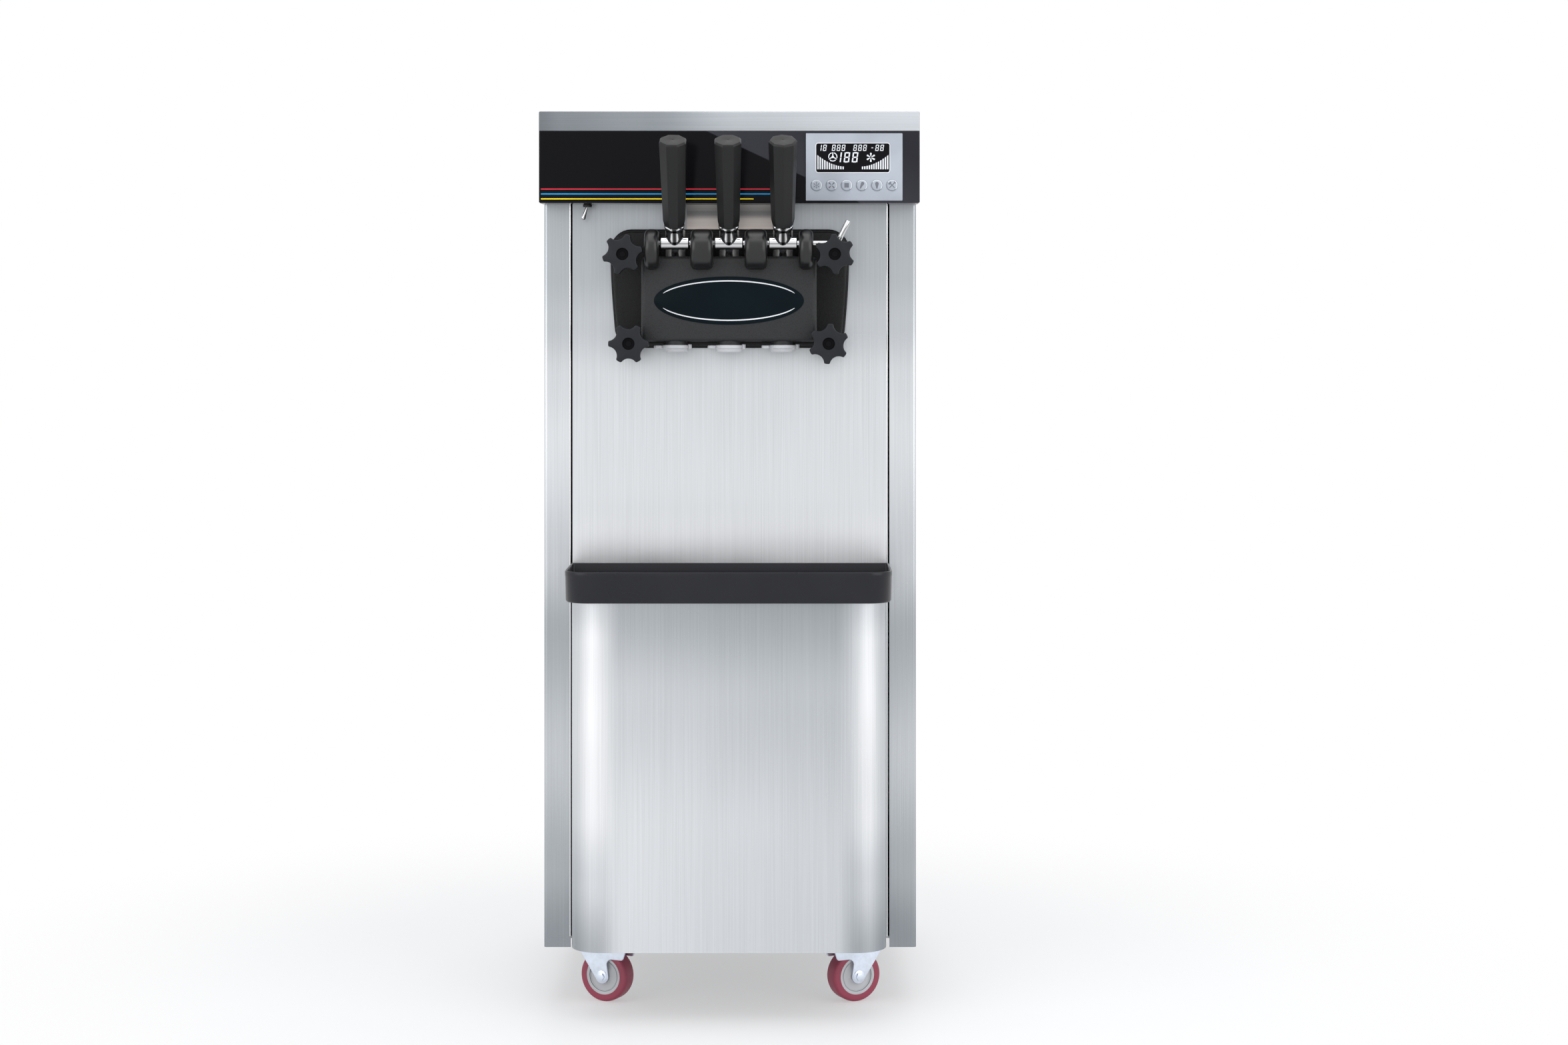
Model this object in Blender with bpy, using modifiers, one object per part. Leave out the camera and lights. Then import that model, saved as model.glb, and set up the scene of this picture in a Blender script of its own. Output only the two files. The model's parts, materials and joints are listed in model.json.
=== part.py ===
"""Floor-standing soft serve machine with three levers, two hoppers and four swivel casters.

Metres, +Z up, the front faces -Y. The origin lies on the floor under the middle of the machine's box.
Depths on the front are written as a reach: the distance a point stands in front of the front panel.
"""
from math import cos, pi, radians, sin, tan

import bmesh
import bpy
from mathutils import Matrix, Vector

# General fits
GAP = 0.0003
SHEET = 0.0015
WELD = 0.00005
INSET = 0.0005

# Cabinet
TOTAL_HEIGHT = 1.280
CABINET_WIDTH = 0.535
CABINET_DEPTH = 0.530
STILE_WIDTH = 0.0385
FOLD_RADIUS = 0.004
SEAM = 0.0025
PANEL_RETURN = 0.012
SKIRT_CLEARANCE = 0.0015
LOUVRE_LENGTH = 0.090
LOUVRE_HEIGHT = 0.006
LOUVRE_PITCH = 0.018
LOUVRE_ROWS = 9
LOUVRE_BASE = 0.200

# Lid, fascia and controls
LID_OVERHANG = 0.0025
LID_HEIGHT = 0.0275
FASCIA_HEIGHT = 0.1022
FASCIA_REACH = 0.060
FASCIA_WALL = 0.0025
KEYPAD_WIDTH = 0.137
KEYPAD_HEIGHT = 0.0955
KEYPAD_THICKNESS = 0.0015
KEYPAD_CORNER = 0.003
KEYPAD_MARGIN = 0.0245
KEYPAD_BORDER = 0.004
BUTTON_RADIUS = 0.008
BUTTON_PITCH = 0.0214
BUTTON_COUNT = 6
BUTTON_DROP = 0.026
BUTTON_PROUD = 0.0012
BUTTON_FLANGE = 0.0012
BUTTON_DEPTH = 0.005
TOGGLE_MARGIN = 0.067
TOGGLE_REACH = 0.030
TOGGLE_RADIUS = 0.0030
TOGGLE_LENGTH = 0.0215
TOGGLE_LEAN = radians(17.5)
BUSHING_RADIUS = 0.0064
BUSHING_HEIGHT = 0.0045
BUSHING_BORE = 0.0046

# Hoppers and deck
HOPPER_WIDTH = 0.190
HOPPER_LENGTH = 0.300
HOPPER_DEPTH = 0.148
HOPPER_CORNER = 0.020
HOPPER_RIM = 0.010
HOPPER_OFFSET_X = 0.113
HOPPER_SETBACK = 0.045
HOPPER_TAPER = 0.006
SPOUT_RADIUS = 0.012
SPOUT_BORE = 0.009
SPOUT_SETBACK = 0.095
SPOUT_ENGAGEMENT = 0.003

# Freezing cylinders and drive
BARREL_RADIUS = 0.055
BARREL_WALL = 0.004
BARREL_LENGTH = 0.280
BARREL_END = 0.006
FACE_THICKNESS = 0.006
FACE_MARGIN = 0.008
FACE_CORNER = 0.025
NECK_WIDTH = 0.124
NECK_REACH = 0.012
BEATER_CLEARANCE = 0.004
BEATER_WIRE = 0.004
BEATER_TURNS = 3
BEATER_SHAFT = 0.008
SHAFT_ENGAGEMENT = 0.022
GEARBOX_WIDTH = 0.230
GEARBOX_HEIGHT = 0.120
GEARBOX_DEPTH = 0.070
MOTOR_RADIUS = 0.062
MOTOR_LENGTH = 0.140

# Dispensing head
LEVER_PITCH = 0.076
PIVOT_DROP = 0.058
PIVOT_REACH = 0.095
PIN_RADIUS = 0.004
PIN_BEND_X = 0.146
PIN_TAIL = 0.030
PIN_TAIL_LEAN = radians(27)
PIN_BEND_RADIUS = 0.010
PIN_OVERHANG = 0.004
FLANGE_RISE = 0.022
FLANGE_HEIGHT = 0.170
FLANGE_HALF_WIDTH = 0.171
FLANGE_FOOT_HALF_WIDTH = 0.165
FLANGE_CORNER = 0.030
FLANGE_BACK = 0.014
FLANGE_FRONT = 0.014
FLANGE_STEP = 0.004
BLOCK_WIDTH = 0.247
BLOCK_HEIGHT = 0.120
BLOCK_DROP = 0.018
BLOCK_REACH = 0.090
BLOCK_EDGE = 0.006
LUG_RADIUS = 0.0285
LUG_DROP = 0.0085
LUG_REACH = 0.093
LUG_SLOT = 0.0445
LUG_OUTER_EDGE = 0.1185
LUG_EDGE = 0.005
PLUNGER_REACH = 0.070
PLUNGER_RADIUS = 0.0139
PLUNGER_RISE = 0.019
PLUNGER_SLOT = 0.0106
PLUNGER_FOOT = 0.004
CROSS_PIN_RADIUS = 0.003
PORT_RADIUS = 0.009
CHAMBER_DEPTH = 0.012
OUTLET_RADIUS = 0.017
OUTLET_LENGTH = 0.009
CAP_WALL = 0.002
CAP_HEIGHT = 0.0148
CAP_FLOOR = 0.003
CAP_EAR = 0.011
CAP_EAR_WIDTH = 0.020
CAP_EAR_HEIGHT = 0.0055
STAR_OUTER = 0.011
STAR_INNER = 0.0065
STAR_POINTS = 6

# Levers
LEVER_LEAN = radians(28)
LEVER_TRAVEL = radians(55)
HUB_RADIUS = 0.009
HUB_LENGTH = 0.040
NECK_LENGTH = 0.029
NECK_RADIUS = 0.0125
COLLAR_RADIUS = 0.0145
TANG_RADIUS = 0.006
TANG_LENGTH = 0.045
GRIP_SIDES = 8
GRIP_LENGTH = 0.130
GRIP_FOOT_RADIUS = 0.0145
GRIP_WAIST_RADIUS = 0.0166
GRIP_TOP_RADIUS = 0.0210
GRIP_CHAMFER = 0.0045
GRIP_TWISTS = {"left": radians(20), "middle": radians(24), "right": radians(4)}
TONGUE_WIDTH = 0.0096
TONGUE_SIDE = 0.0035
TONGUE_PLAY = 0.0007

# Star knobs
KNOB_TOP_X = 0.1485
KNOB_TOP_DROP = 0.0155
KNOB_FOOT_X = 0.140
KNOB_FOOT_RISE = 0.007
KNOB_RADIUS = 0.0285
KNOB_VALLEY = 0.0205
KNOB_LOBES = 6
KNOB_THICKNESS = 0.018
KNOB_EDGE = 0.002
KNOB_HUB = 0.0098
KNOB_RECESS = 0.0085
KNOB_RECESS_DEPTH = 0.0035
KNOB_PIN_CLEARANCE = 0.001
STUD_RADIUS = 0.005
STUD_BOSS = 0.013

# Lower front and drip tray
LOWER_MARGIN = 0.0075
LOWER_REACH = 0.125
LOWER_CORNER = 0.045
LOWER_BOTTOM = 0.101
TRAY_MARGIN = 0.0007
TRAY_REACH = 0.157
TRAY_BASE = 0.591
TRAY_HEIGHT = 0.044
TRAY_CORNER = 0.035
TRAY_WALL = 0.003
TRAY_FLOOR = 0.004
GRID_LEDGE = 0.004
GRID_THICKNESS = 0.003
GRID_DEPTH = 0.016
GRID_CLEARANCE = 0.0005
GRID_SLOTS = 22
GRID_SLOT_WIDTH = 0.008
GRID_BORDER = 0.014

# Casters
WHEEL_RADIUS = 0.0375
WHEEL_WIDTH = 0.027
WHEEL_SHOULDER = 0.004
WHEEL_RIM_RADIUS = 0.0265
WHEEL_DISH = 0.003
WHEEL_HUB_RADIUS = 0.011
WHEEL_SEGMENTS = 20
AXLE_RADIUS = 0.0045
AXLE_HEAD = 0.008
AXLE_HEAD_HEIGHT = 0.0045
CASTER_TRAIL = 0.020
CROWN_CLEARANCE = 0.0022
CROWN_THICKNESS = 0.0035
CROWN_LEAD = 0.042
CROWN_TAIL = 0.038
LEG_THICKNESS = 0.003
LEG_CLEARANCE = 0.0015
LEG_FOOT_RADIUS = 0.0103
LEG_SKIRT = 0.028
RACE_RADIUS = 0.020
RACE_HEIGHT = 0.010
KINGPIN_RADIUS = 0.006
KINGPIN_HEAD = 0.009
KINGPIN_HEAD_HEIGHT = 0.003
CASTER_PLATE = 0.056
CASTER_PLATE_THICKNESS = 0.003
CASTER_MARGIN = 0.0715
FRONT_CASTER_SETBACK = 0.035
REAR_CASTER_MARGIN = 0.075
FRONT_CASTER_YAW = radians(25)

# Base and machinery
BASE_THICKNESS = 0.003
BASE_UPSTAND = 0.025
BASE_TONGUE = 0.045
COMPRESSOR_RADIUS = 0.085
COMPRESSOR_HEIGHT = 0.190
COMPRESSOR_MARGIN = 0.1475
COMPRESSOR_SETBACK = 0.190
COMPRESSOR_FOOT = 0.008
CONDENSER_WIDTH = 0.300
CONDENSER_HEIGHT = 0.260
CONDENSER_DEPTH = 0.050
CONDENSER_SIDE = 0.0375
CONDENSER_MARGIN = 0.030
CONDENSER_FINS = 12
FIN_CUT = 0.012
SHROUD_RADIUS = 0.110
SHROUD_WALL = 0.004
SHROUD_DEPTH = 0.035
FAN_SHAFT = 0.005
FAN_HUB = 0.022
FAN_BLADES = 5
FAN_TIP_CLEARANCE = 0.006
FAN_BLADE_THICKNESS = 0.003
FAN_BLADE_WIDTH = 0.060
FAN_PITCH = radians(28)
FAN_DEPTH = 0.016

# Heights, from the floor up and from the lid down
wheel_top = 2 * WHEEL_RADIUS
crown_bottom = wheel_top + CROWN_CLEARANCE
crown_top = crown_bottom + CROWN_THICKNESS
plate_bottom = crown_top + GAP + RACE_HEIGHT
base_bottom = plate_bottom + CASTER_PLATE_THICKNESS + GAP
base_top = base_bottom + BASE_THICKNESS
panel_bottom = crown_top + SKIRT_CLEARANCE
lid_bottom = TOTAL_HEIGHT - LID_HEIGHT
fascia_top = lid_bottom - GAP
fascia_bottom = fascia_top - FASCIA_HEIGHT
panel_top = lid_bottom - 2 * GAP - SHEET
deck_top = panel_top + GAP + SHEET
pivot_z = fascia_bottom - PIVOT_DROP
lug_z = pivot_z - LUG_DROP
block_top = pivot_z - BLOCK_DROP
block_bottom = block_top - BLOCK_HEIGHT
flange_top = pivot_z + FLANGE_RISE
flange_bottom = flange_top - FLANGE_HEIGHT
barrel_z = (flange_top + flange_bottom) / 2
tray_top = TRAY_BASE + TRAY_HEIGHT

# Reaches in front of the front panel
face_reach = GAP + FACE_THICKNESS
flange_reach = face_reach + GAP
flange_mid = flange_reach + FLANGE_BACK
wing_reach = flange_mid + FLANGE_FRONT
star_back = PIVOT_REACH + PIN_RADIUS + KNOB_PIN_CLEARANCE
star_front = star_back + KNOB_THICKNESS
stud_tip = star_front - KNOB_RECESS_DEPTH - SHEET - GAP
tongue_angle = LEVER_TRAVEL / 2
tongue_arm = PIVOT_REACH - PLUNGER_REACH
keypad_reach = FASCIA_REACH + GAP

# Half widths and knob places
half_width = CABINET_WIDTH / 2
lid_half = half_width + LID_OVERHANG
stile_edge = half_width - STILE_WIDTH
lower_half = stile_edge - LOWER_MARGIN
tray_half = stile_edge - TRAY_MARGIN
keypad_x = lid_half - KEYPAD_MARGIN - KEYPAD_WIDTH / 2
toggle_x = TOGGLE_MARGIN - lid_half
caster_x = half_width - CASTER_MARGIN
compressor_x = COMPRESSOR_MARGIN - half_width
condenser_x = half_width - CONDENSER_SIDE - CONDENSER_WIDTH / 2
lever_places = {"left": -LEVER_PITCH, "middle": 0.0, "right": LEVER_PITCH}
knob_places = {
    "top_left": (-KNOB_TOP_X, pivot_z - KNOB_TOP_DROP, radians(14)),
    "top_right": (KNOB_TOP_X, pivot_z - KNOB_TOP_DROP, radians(33)),
    "bottom_left": (-KNOB_FOOT_X, flange_bottom + KNOB_FOOT_RISE, 0.0),
    "bottom_right": (KNOB_FOOT_X, flange_bottom + KNOB_FOOT_RISE, radians(25)),
}


def grip_profile():
    """Outer line of a lever grip, as radius and distance from the pivot, from the top down."""
    foot = NECK_LENGTH + GAP
    top = foot + GRIP_LENGTH
    return [
        (GRIP_TOP_RADIUS - GRIP_CHAMFER, top),
        (GRIP_TOP_RADIUS, top - GRIP_CHAMFER),
        (GRIP_WAIST_RADIUS, foot + 2 * GRIP_CHAMFER),
        (GRIP_FOOT_RADIUS, foot),
    ]


def lever_front_reach():
    """How far the foremost corner of a leaning grip stands in front of the front panel."""
    reaches = []
    for twist in GRIP_TWISTS.values():
        for side in range(GRIP_SIDES):
            forward = cos(twist + 2 * pi * side / GRIP_SIDES)
            for radius, along in grip_profile():
                reaches.append(along * sin(LEVER_LEAN) + radius * forward * cos(LEVER_LEAN))
    return PIVOT_REACH + max(reaches)


front_y = (lever_front_reach() - CABINET_DEPTH - LID_OVERHANG) / 2
rear_y = front_y + CABINET_DEPTH


def at(x, reach, z):
    """World point from a reach in front of the front panel."""
    return Vector((x, front_y - reach, z))


# Scene, collections and materials
for old in list(bpy.data.objects):
    bpy.data.objects.remove(old, do_unlink=True)

parts = bpy.data.collections.new("soft_serve_machine")
cutters = bpy.data.collections.new("cutters")
for collection in (parts, cutters):
    bpy.context.scene.collection.children.link(collection)


def finish(name, colour, roughness, metallic):
    """A Principled material."""
    material = bpy.data.materials.new(name)
    material.use_nodes = True
    shader = material.node_tree.nodes["Principled BSDF"]
    shader.inputs["Base Color"].default_value = (*colour, 1.0)
    shader.inputs["Roughness"].default_value = roughness
    shader.inputs["Metallic"].default_value = metallic
    return material


STAINLESS = finish("brushed_stainless", (0.62, 0.64, 0.66), 0.32, 1.0)
POLISHED = finish("polished_chrome", (0.85, 0.85, 0.86), 0.08, 1.0)
BLACK_MOULDING = finish("black_moulding", (0.032, 0.033, 0.035), 0.5, 0.0)
GLOSS_BLACK = finish("gloss_black", (0.010, 0.010, 0.012), 0.12, 0.0)
KEYPAD_GREY = finish("keypad_grey", (0.47, 0.51, 0.57), 0.4, 0.0)
WHITE_PLASTIC = finish("white_plastic", (0.72, 0.73, 0.74), 0.35, 0.0)
ZINC = finish("zinc_plate", (0.72, 0.76, 0.84), 0.35, 1.0)
RED_TREAD = finish("red_tread", (0.37, 0.08, 0.13), 0.5, 0.0)
STEEL = finish("galvanised_steel", (0.50, 0.51, 0.52), 0.45, 1.0)
MACHINE_PAINT = finish("machine_paint", (0.03, 0.035, 0.04), 0.5, 0.0)
FIN_ALUMINIUM = finish("aluminium_fins", (0.60, 0.60, 0.60), 0.4, 1.0)


# Modelling helpers
def add_mesh(name, bm):
    """Object in the cutters collection from a bmesh; publish() moves finished parts out of it."""
    mesh = bpy.data.meshes.new(name)
    bm.to_mesh(mesh)
    bm.free()
    item = bpy.data.objects.new(name, mesh)
    cutters.objects.link(item)
    return item


def box(name, low, high):
    """Box between two corners."""
    low = Vector(low)
    high = Vector(high)
    bm = bmesh.new()
    bmesh.ops.create_cube(bm, size=1.0)
    bmesh.ops.scale(bm, vec=high - low, verts=bm.verts)
    item = add_mesh(name, bm)
    item.location = (low + high) / 2
    return item


def front_box(name, half_x, reach_range, z_range):
    """Box centred on x = 0 between two reaches and two heights."""
    low = at(-half_x, reach_range[1], z_range[0])
    high = at(half_x, reach_range[0], z_range[1])
    return box(name, low, high)


def rod(name, start, end, radius, sides=16, end_radius=None, turn=0.0):
    """Cylinder or cone between two points."""
    start = Vector(start)
    end = Vector(end)
    bm = bmesh.new()
    last = radius if end_radius is None else end_radius
    bmesh.ops.create_cone(
        bm, cap_ends=True, segments=sides, radius1=radius, radius2=last, depth=(end - start).length
    )
    item = add_mesh(name, bm)
    heading = (end - start).to_track_quat("Z", "Y").to_matrix().to_4x4()
    item.matrix_world = Matrix.Translation((start + end) / 2) @ heading @ Matrix.Rotation(turn, 4, "Z")
    return item


def turned(name, profile, sides, place, closed=False):
    """Shape turned about the local Z axis from a line of (radius, height), top to bottom."""
    bm = bmesh.new()
    corners = [bm.verts.new((radius, 0.0, height)) for radius, height in profile]
    ends = corners[1:] + corners[:1] if closed else corners[1:]
    for first, second in zip(corners, ends):
        bm.edges.new((first, second))
    item = add_mesh(name, bm)
    screw = item.modifiers.new("turn", "SCREW")
    screw.steps = sides
    screw.render_steps = sides
    screw.use_merge_vertices = True
    screw.merge_threshold = WELD
    item.matrix_world = place
    return item


def arc(centre_x, centre_y, radius, start, end, count):
    """Points of an arc, angles in degrees."""
    angles = [radians(start + (end - start) * step / count) for step in range(count + 1)]
    return [(centre_x + radius * cos(a), centre_y + radius * sin(a)) for a in angles]


def round_box(x0, x1, y0, y1, corner, count=4):
    """Rectangle outline with round corners, or with two corner radii for the low and the high side."""
    low, high = corner if isinstance(corner, tuple) else (corner, corner)
    return (
        arc(x1 - low, y0 + low, low, -90, 0, count)
        + arc(x1 - high, y1 - high, high, 0, 90, count)
        + arc(x0 + high, y1 - high, high, 90, 180, count)
        + arc(x0 + low, y0 + low, low, 180, 270, count)
    )


def flat(name, outlines, thickness, place):
    """Flat outline with holes, given a thickness along its local Z and made a mesh."""
    curve = bpy.data.curves.new(name, "CURVE")
    curve.dimensions = "2D"
    curve.fill_mode = "BOTH"
    curve.extrude = thickness / 2
    for outline in outlines:
        spline = curve.splines.new("POLY")
        spline.points.add(len(outline) - 1)
        for point, (x, y) in zip(spline.points, outline):
            point.co = (x, y, 0.0, 1.0)
        spline.use_cyclic_u = True
    guide = bpy.data.objects.new(name + "_outline", curve)
    cutters.objects.link(guide)
    guide.matrix_world = place
    return solid_curve(name, guide)


def solid_curve(name, guide):
    """Mesh object from a curve, with its caps welded on."""
    bpy.context.view_layer.update()
    seen = guide.evaluated_get(bpy.context.evaluated_depsgraph_get())
    mesh = bpy.data.meshes.new_from_object(seen)
    bm = bmesh.new()
    bm.from_mesh(mesh)
    bmesh.ops.remove_doubles(bm, verts=bm.verts, dist=WELD)
    item = add_mesh(name, bm)
    item.matrix_world = guide.matrix_world
    bpy.data.objects.remove(guide, do_unlink=True)
    bpy.data.meshes.remove(mesh)
    return item


def level_flat(name, outlines, z_range):
    """Flat outlines in x and y, between two heights."""
    place = Matrix.Translation((0, 0, sum(z_range) / 2))
    return flat(name, outlines, z_range[1] - z_range[0], place)


def front_flat(name, outlines, reach_range):
    """Flat outlines in x and z, between two reaches."""
    place = Matrix.Translation((0, front_y - sum(reach_range) / 2, 0)) @ Matrix.Rotation(pi / 2, 4, "X")
    return flat(name, outlines, reach_range[1] - reach_range[0], place)


def side_flat(name, outlines, x_range, carrier=None):
    """Flat outlines in y and z, between two x places, or in the axes of a carrier."""
    upright = Matrix(((0, 0, 1, 0), (1, 0, 0, 0), (0, 1, 0, 0), (0, 0, 0, 1)))
    place = Matrix.Translation((sum(x_range) / 2, 0, 0)) @ upright
    if carrier is not None:
        place = carrier @ place
    return flat(name, outlines, x_range[1] - x_range[0], place)


def sheet(name, rows, thickness, closed=False, capped=False):
    """Thin wall over rows of points; the wall grows to the inner side of the rows."""
    bm = bmesh.new()
    loops = [[bm.verts.new(point) for point in row] for row in rows]
    for first, second in zip(loops, loops[1:]):
        count = len(first)
        for place in range(count if closed else count - 1):
            follow = (place + 1) % count
            bm.faces.new((first[place], first[follow], second[follow], second[place]))
    if capped:
        bm.faces.new(loops[-1])
    bmesh.ops.recalc_face_normals(bm, faces=bm.faces)
    item = add_mesh(name, bm)
    wall = item.modifiers.new("wall", "SOLIDIFY")
    wall.thickness = thickness
    wall.offset = -1.0
    wall.use_even_offset = True
    return item


def bevel(item, width, segments=2, angle=radians(40)):
    """Rounded edges."""
    edge = item.modifiers.new("edge", "BEVEL")
    edge.width = width
    edge.segments = segments
    edge.limit_method = "ANGLE"
    edge.angle_limit = angle
    edge.use_clamp_overlap = True
    return item


def combine(item, tools, operation):
    """Boolean of an object with tools, which stay as hidden guides."""
    for tool in tools:
        step = item.modifiers.new(operation.lower(), "BOOLEAN")
        step.operation = operation
        step.solver = "EXACT"
        step.object = tool
        tool.hide_render = True
        tool.display_type = "WIRE"
    return item


def fuse(item, *tools):
    return combine(item, tools, "UNION")


def cut(item, *tools):
    return combine(item, tools, "DIFFERENCE")


def publish(item, name, material, carrier=None, smooth=True):
    """Make an object one of the machine's parts."""
    item.name = name
    cutters.objects.unlink(item)
    parts.objects.link(item)
    item.data.materials.clear()
    item.data.materials.append(material)
    if smooth:
        item.data.shade_smooth()
        item.data.set_sharp_from_angle(angle=radians(35))
    if carrier is not None:
        bpy.context.view_layer.update()
        item.parent = carrier
        item.matrix_parent_inverse = carrier.matrix_world.inverted()
    return item


def joint_empty(name, place):
    """Empty on a joint's axis, which carries a moving piece."""
    empty = bpy.data.objects.new(name, None)
    empty.matrix_world = place if isinstance(place, Matrix) else Matrix.Translation(place)
    parts.objects.link(empty)
    bpy.context.view_layer.update()
    return empty


# Casters
def leg_outline():
    """Side outline of a fork leg about the axle, in the trail direction and up."""
    top = crown_top - WHEEL_RADIUS
    skirt = crown_top - LEG_SKIRT + CROWN_THICKNESS - WHEEL_RADIUS
    inner = LEG_FOOT_RADIUS - GAP * 8
    hollow = inner + FOLD_RADIUS * 2
    lead = -CROWN_LEAD
    return (
        [(lead, top)]
        + arc(0, 0, LEG_FOOT_RADIUS, 205, 360, 6)
        + arc(hollow, skirt - FOLD_RADIUS * 2, FOLD_RADIUS * 2, 180, 90, 3)
        + arc(CROWN_TAIL - FOLD_RADIUS, skirt + FOLD_RADIUS, FOLD_RADIUS, -90, 0, 2)
        + [(CROWN_TAIL, top)]
    )


def caster(name, x, y, yaw):
    """Swivel caster: plate with kingpin, fork with axle bolt, and wheel with bonded tread."""
    half_plate = CASTER_PLATE / 2
    plate = box(
        name + "_plate",
        (x - half_plate, y - half_plate, plate_bottom),
        (x + half_plate, y + half_plate, plate_bottom + CASTER_PLATE_THICKNESS),
    )
    race = rod("race", (x, y, crown_top + GAP), (x, y, plate_bottom + INSET), RACE_RADIUS, 20)
    pin = rod(
        "kingpin", (x, y, crown_bottom - KINGPIN_HEAD_HEIGHT), (x, y, plate_bottom), KINGPIN_RADIUS, 12
    )
    head_top = crown_bottom - GAP
    head = rod("pin_head", (x, y, head_top - KINGPIN_HEAD_HEIGHT), (x, y, head_top), KINGPIN_HEAD, 12)
    publish(fuse(plate, race, pin, head), name + "_plate", ZINC)

    swivel = Matrix.Translation((x, y, 0)) @ Matrix.Rotation(yaw, 4, "Z")
    swivel_empty = joint_empty(name + "_swivel", swivel)
    inner = WHEEL_WIDTH / 2 + LEG_CLEARANCE
    outer = inner + LEG_THICKNESS
    crown = box(
        name + "_fork",
        (CASTER_TRAIL - CROWN_LEAD, -outer + INSET, crown_bottom),
        (CASTER_TRAIL + CROWN_TAIL, outer - INSET, crown_top - INSET),
    )
    crown.matrix_world = swivel @ Matrix.Translation(crown.location)
    axle = Matrix.Translation((CASTER_TRAIL, 0, WHEEL_RADIUS))
    turn = Matrix.Rotation(pi / 2, 4, "X")
    legs = []
    for side in (-1, 1):
        middle = Matrix.Translation((0, side * (inner + outer) / 2, 0))
        legs.append(flat("leg", [leg_outline()], LEG_THICKNESS, swivel @ axle @ middle @ turn))
    tools = legs + [
        bar("axle", swivel @ axle @ turn, AXLE_RADIUS, outer, 12),
        bar("bolt_head", swivel @ axle @ turn, AXLE_HEAD, outer + AXLE_HEAD_HEIGHT, 6),
    ]
    gap_cut = box("head_gap", (-1, -inner, -1), (1, inner, 1))
    gap_cut.data.transform(Matrix.Diagonal((AXLE_HEAD + INSET, 1, AXLE_HEAD + INSET, 1)))
    gap_cut.matrix_world = swivel @ axle
    bolt = cut(tools[-1], gap_cut)
    fuse(crown, *legs, bolt, tools[2])
    hole = rod("kingpin_hole", (x, y, 0), (x, y, plate_bottom), KINGPIN_RADIUS + GAP, 12)
    publish(cut(crown, hole), name + "_fork", ZINC, swivel_empty)

    spin_empty = joint_empty(name + "_axle", swivel @ axle)
    half = WHEEL_WIDTH / 2
    corner_radius = WHEEL_RADIUS / cos(pi / WHEEL_SEGMENTS)
    bore = AXLE_RADIUS + GAP
    half_profile = [
        (bore, half),
        (WHEEL_HUB_RADIUS, half),
        (WHEEL_HUB_RADIUS + WHEEL_DISH, half - WHEEL_DISH),
        (WHEEL_RIM_RADIUS - WHEEL_DISH, half - WHEEL_DISH),
        (WHEEL_RIM_RADIUS, half),
        (corner_radius - WHEEL_SHOULDER, half),
        (corner_radius, half - WHEEL_SHOULDER),
    ]
    mirrored = [(radius, -height) for radius, height in reversed(half_profile)]
    profile = half_profile + mirrored
    wheel = turned(name + "_wheel", profile, WHEEL_SEGMENTS, swivel @ axle @ turn, closed=True)
    wheel.matrix_world = wheel.matrix_world @ Matrix.Rotation(pi / WHEEL_SEGMENTS, 4, "Z")
    publish(wheel, name + "_wheel", RED_TREAD, spin_empty)


def bar(name, place, radius, half_length, sides):
    """Round or polygonal bar centred on a place, along its local Z axis."""
    bm = bmesh.new()
    bmesh.ops.create_cone(
        bm, cap_ends=True, segments=sides, radius1=radius, radius2=radius, depth=2 * half_length
    )
    item = add_mesh(name, bm)
    item.matrix_world = place
    return item


def casters():
    front = front_y + FRONT_CASTER_SETBACK
    rear = rear_y - REAR_CASTER_MARGIN
    caster("front_left_caster", -caster_x, front, -FRONT_CASTER_YAW)
    caster("front_right_caster", caster_x, front, pi + FRONT_CASTER_YAW)
    caster("rear_left_caster", -caster_x, rear, pi / 2)
    caster("rear_right_caster", caster_x, rear, pi / 2)


# Cabinet
def base_frame():
    """Base plate with a tongue for the front casters and folded upstands."""
    side = half_width - SHEET - GAP
    inner_front = front_y + FOLD_RADIUS + GAP
    tongue_side = lower_half - SHEET - GAP
    back = rear_y - SHEET - FOLD_RADIUS - 2 * GAP
    plate = box("base_frame", (-side, inner_front, base_bottom), (side, back, base_top))
    tongue = box(
        "caster_tongue",
        (-tongue_side, front_y - BASE_TONGUE, base_bottom),
        (tongue_side, inner_front + PANEL_RETURN, base_top - INSET),
    )
    top = base_top + BASE_UPSTAND
    edge = side - INSET
    end = back - INSET
    start = inner_front + INSET
    rim = [
        (-edge, start),
        (-edge + SHEET, start),
        (-edge + SHEET, end - SHEET),
        (edge - SHEET, end - SHEET),
        (edge - SHEET, start),
        (edge, start),
        (edge, end),
        (-edge, end),
    ]
    walls = level_flat("upstand", [rim], (base_top - SHEET, top))
    publish(fuse(plate, tongue, walls), "base_frame", STEEL)


def louvres(name, along, across, rows):
    """Cutter with a bank of slots; along and across map slot sizes to world corners."""
    bm = bmesh.new()
    for row in range(rows):
        for low, high in across(LOUVRE_BASE + row * LOUVRE_PITCH, along):
            middle = (Vector(low) + Vector(high)) / 2
            size = Vector(high) - Vector(low)
            place = Matrix.Translation(middle) @ Matrix.Diagonal((*size, 1.0))
            bmesh.ops.create_cube(bm, size=1.0, matrix=place)
    return add_mesh(name, bm)


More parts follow.
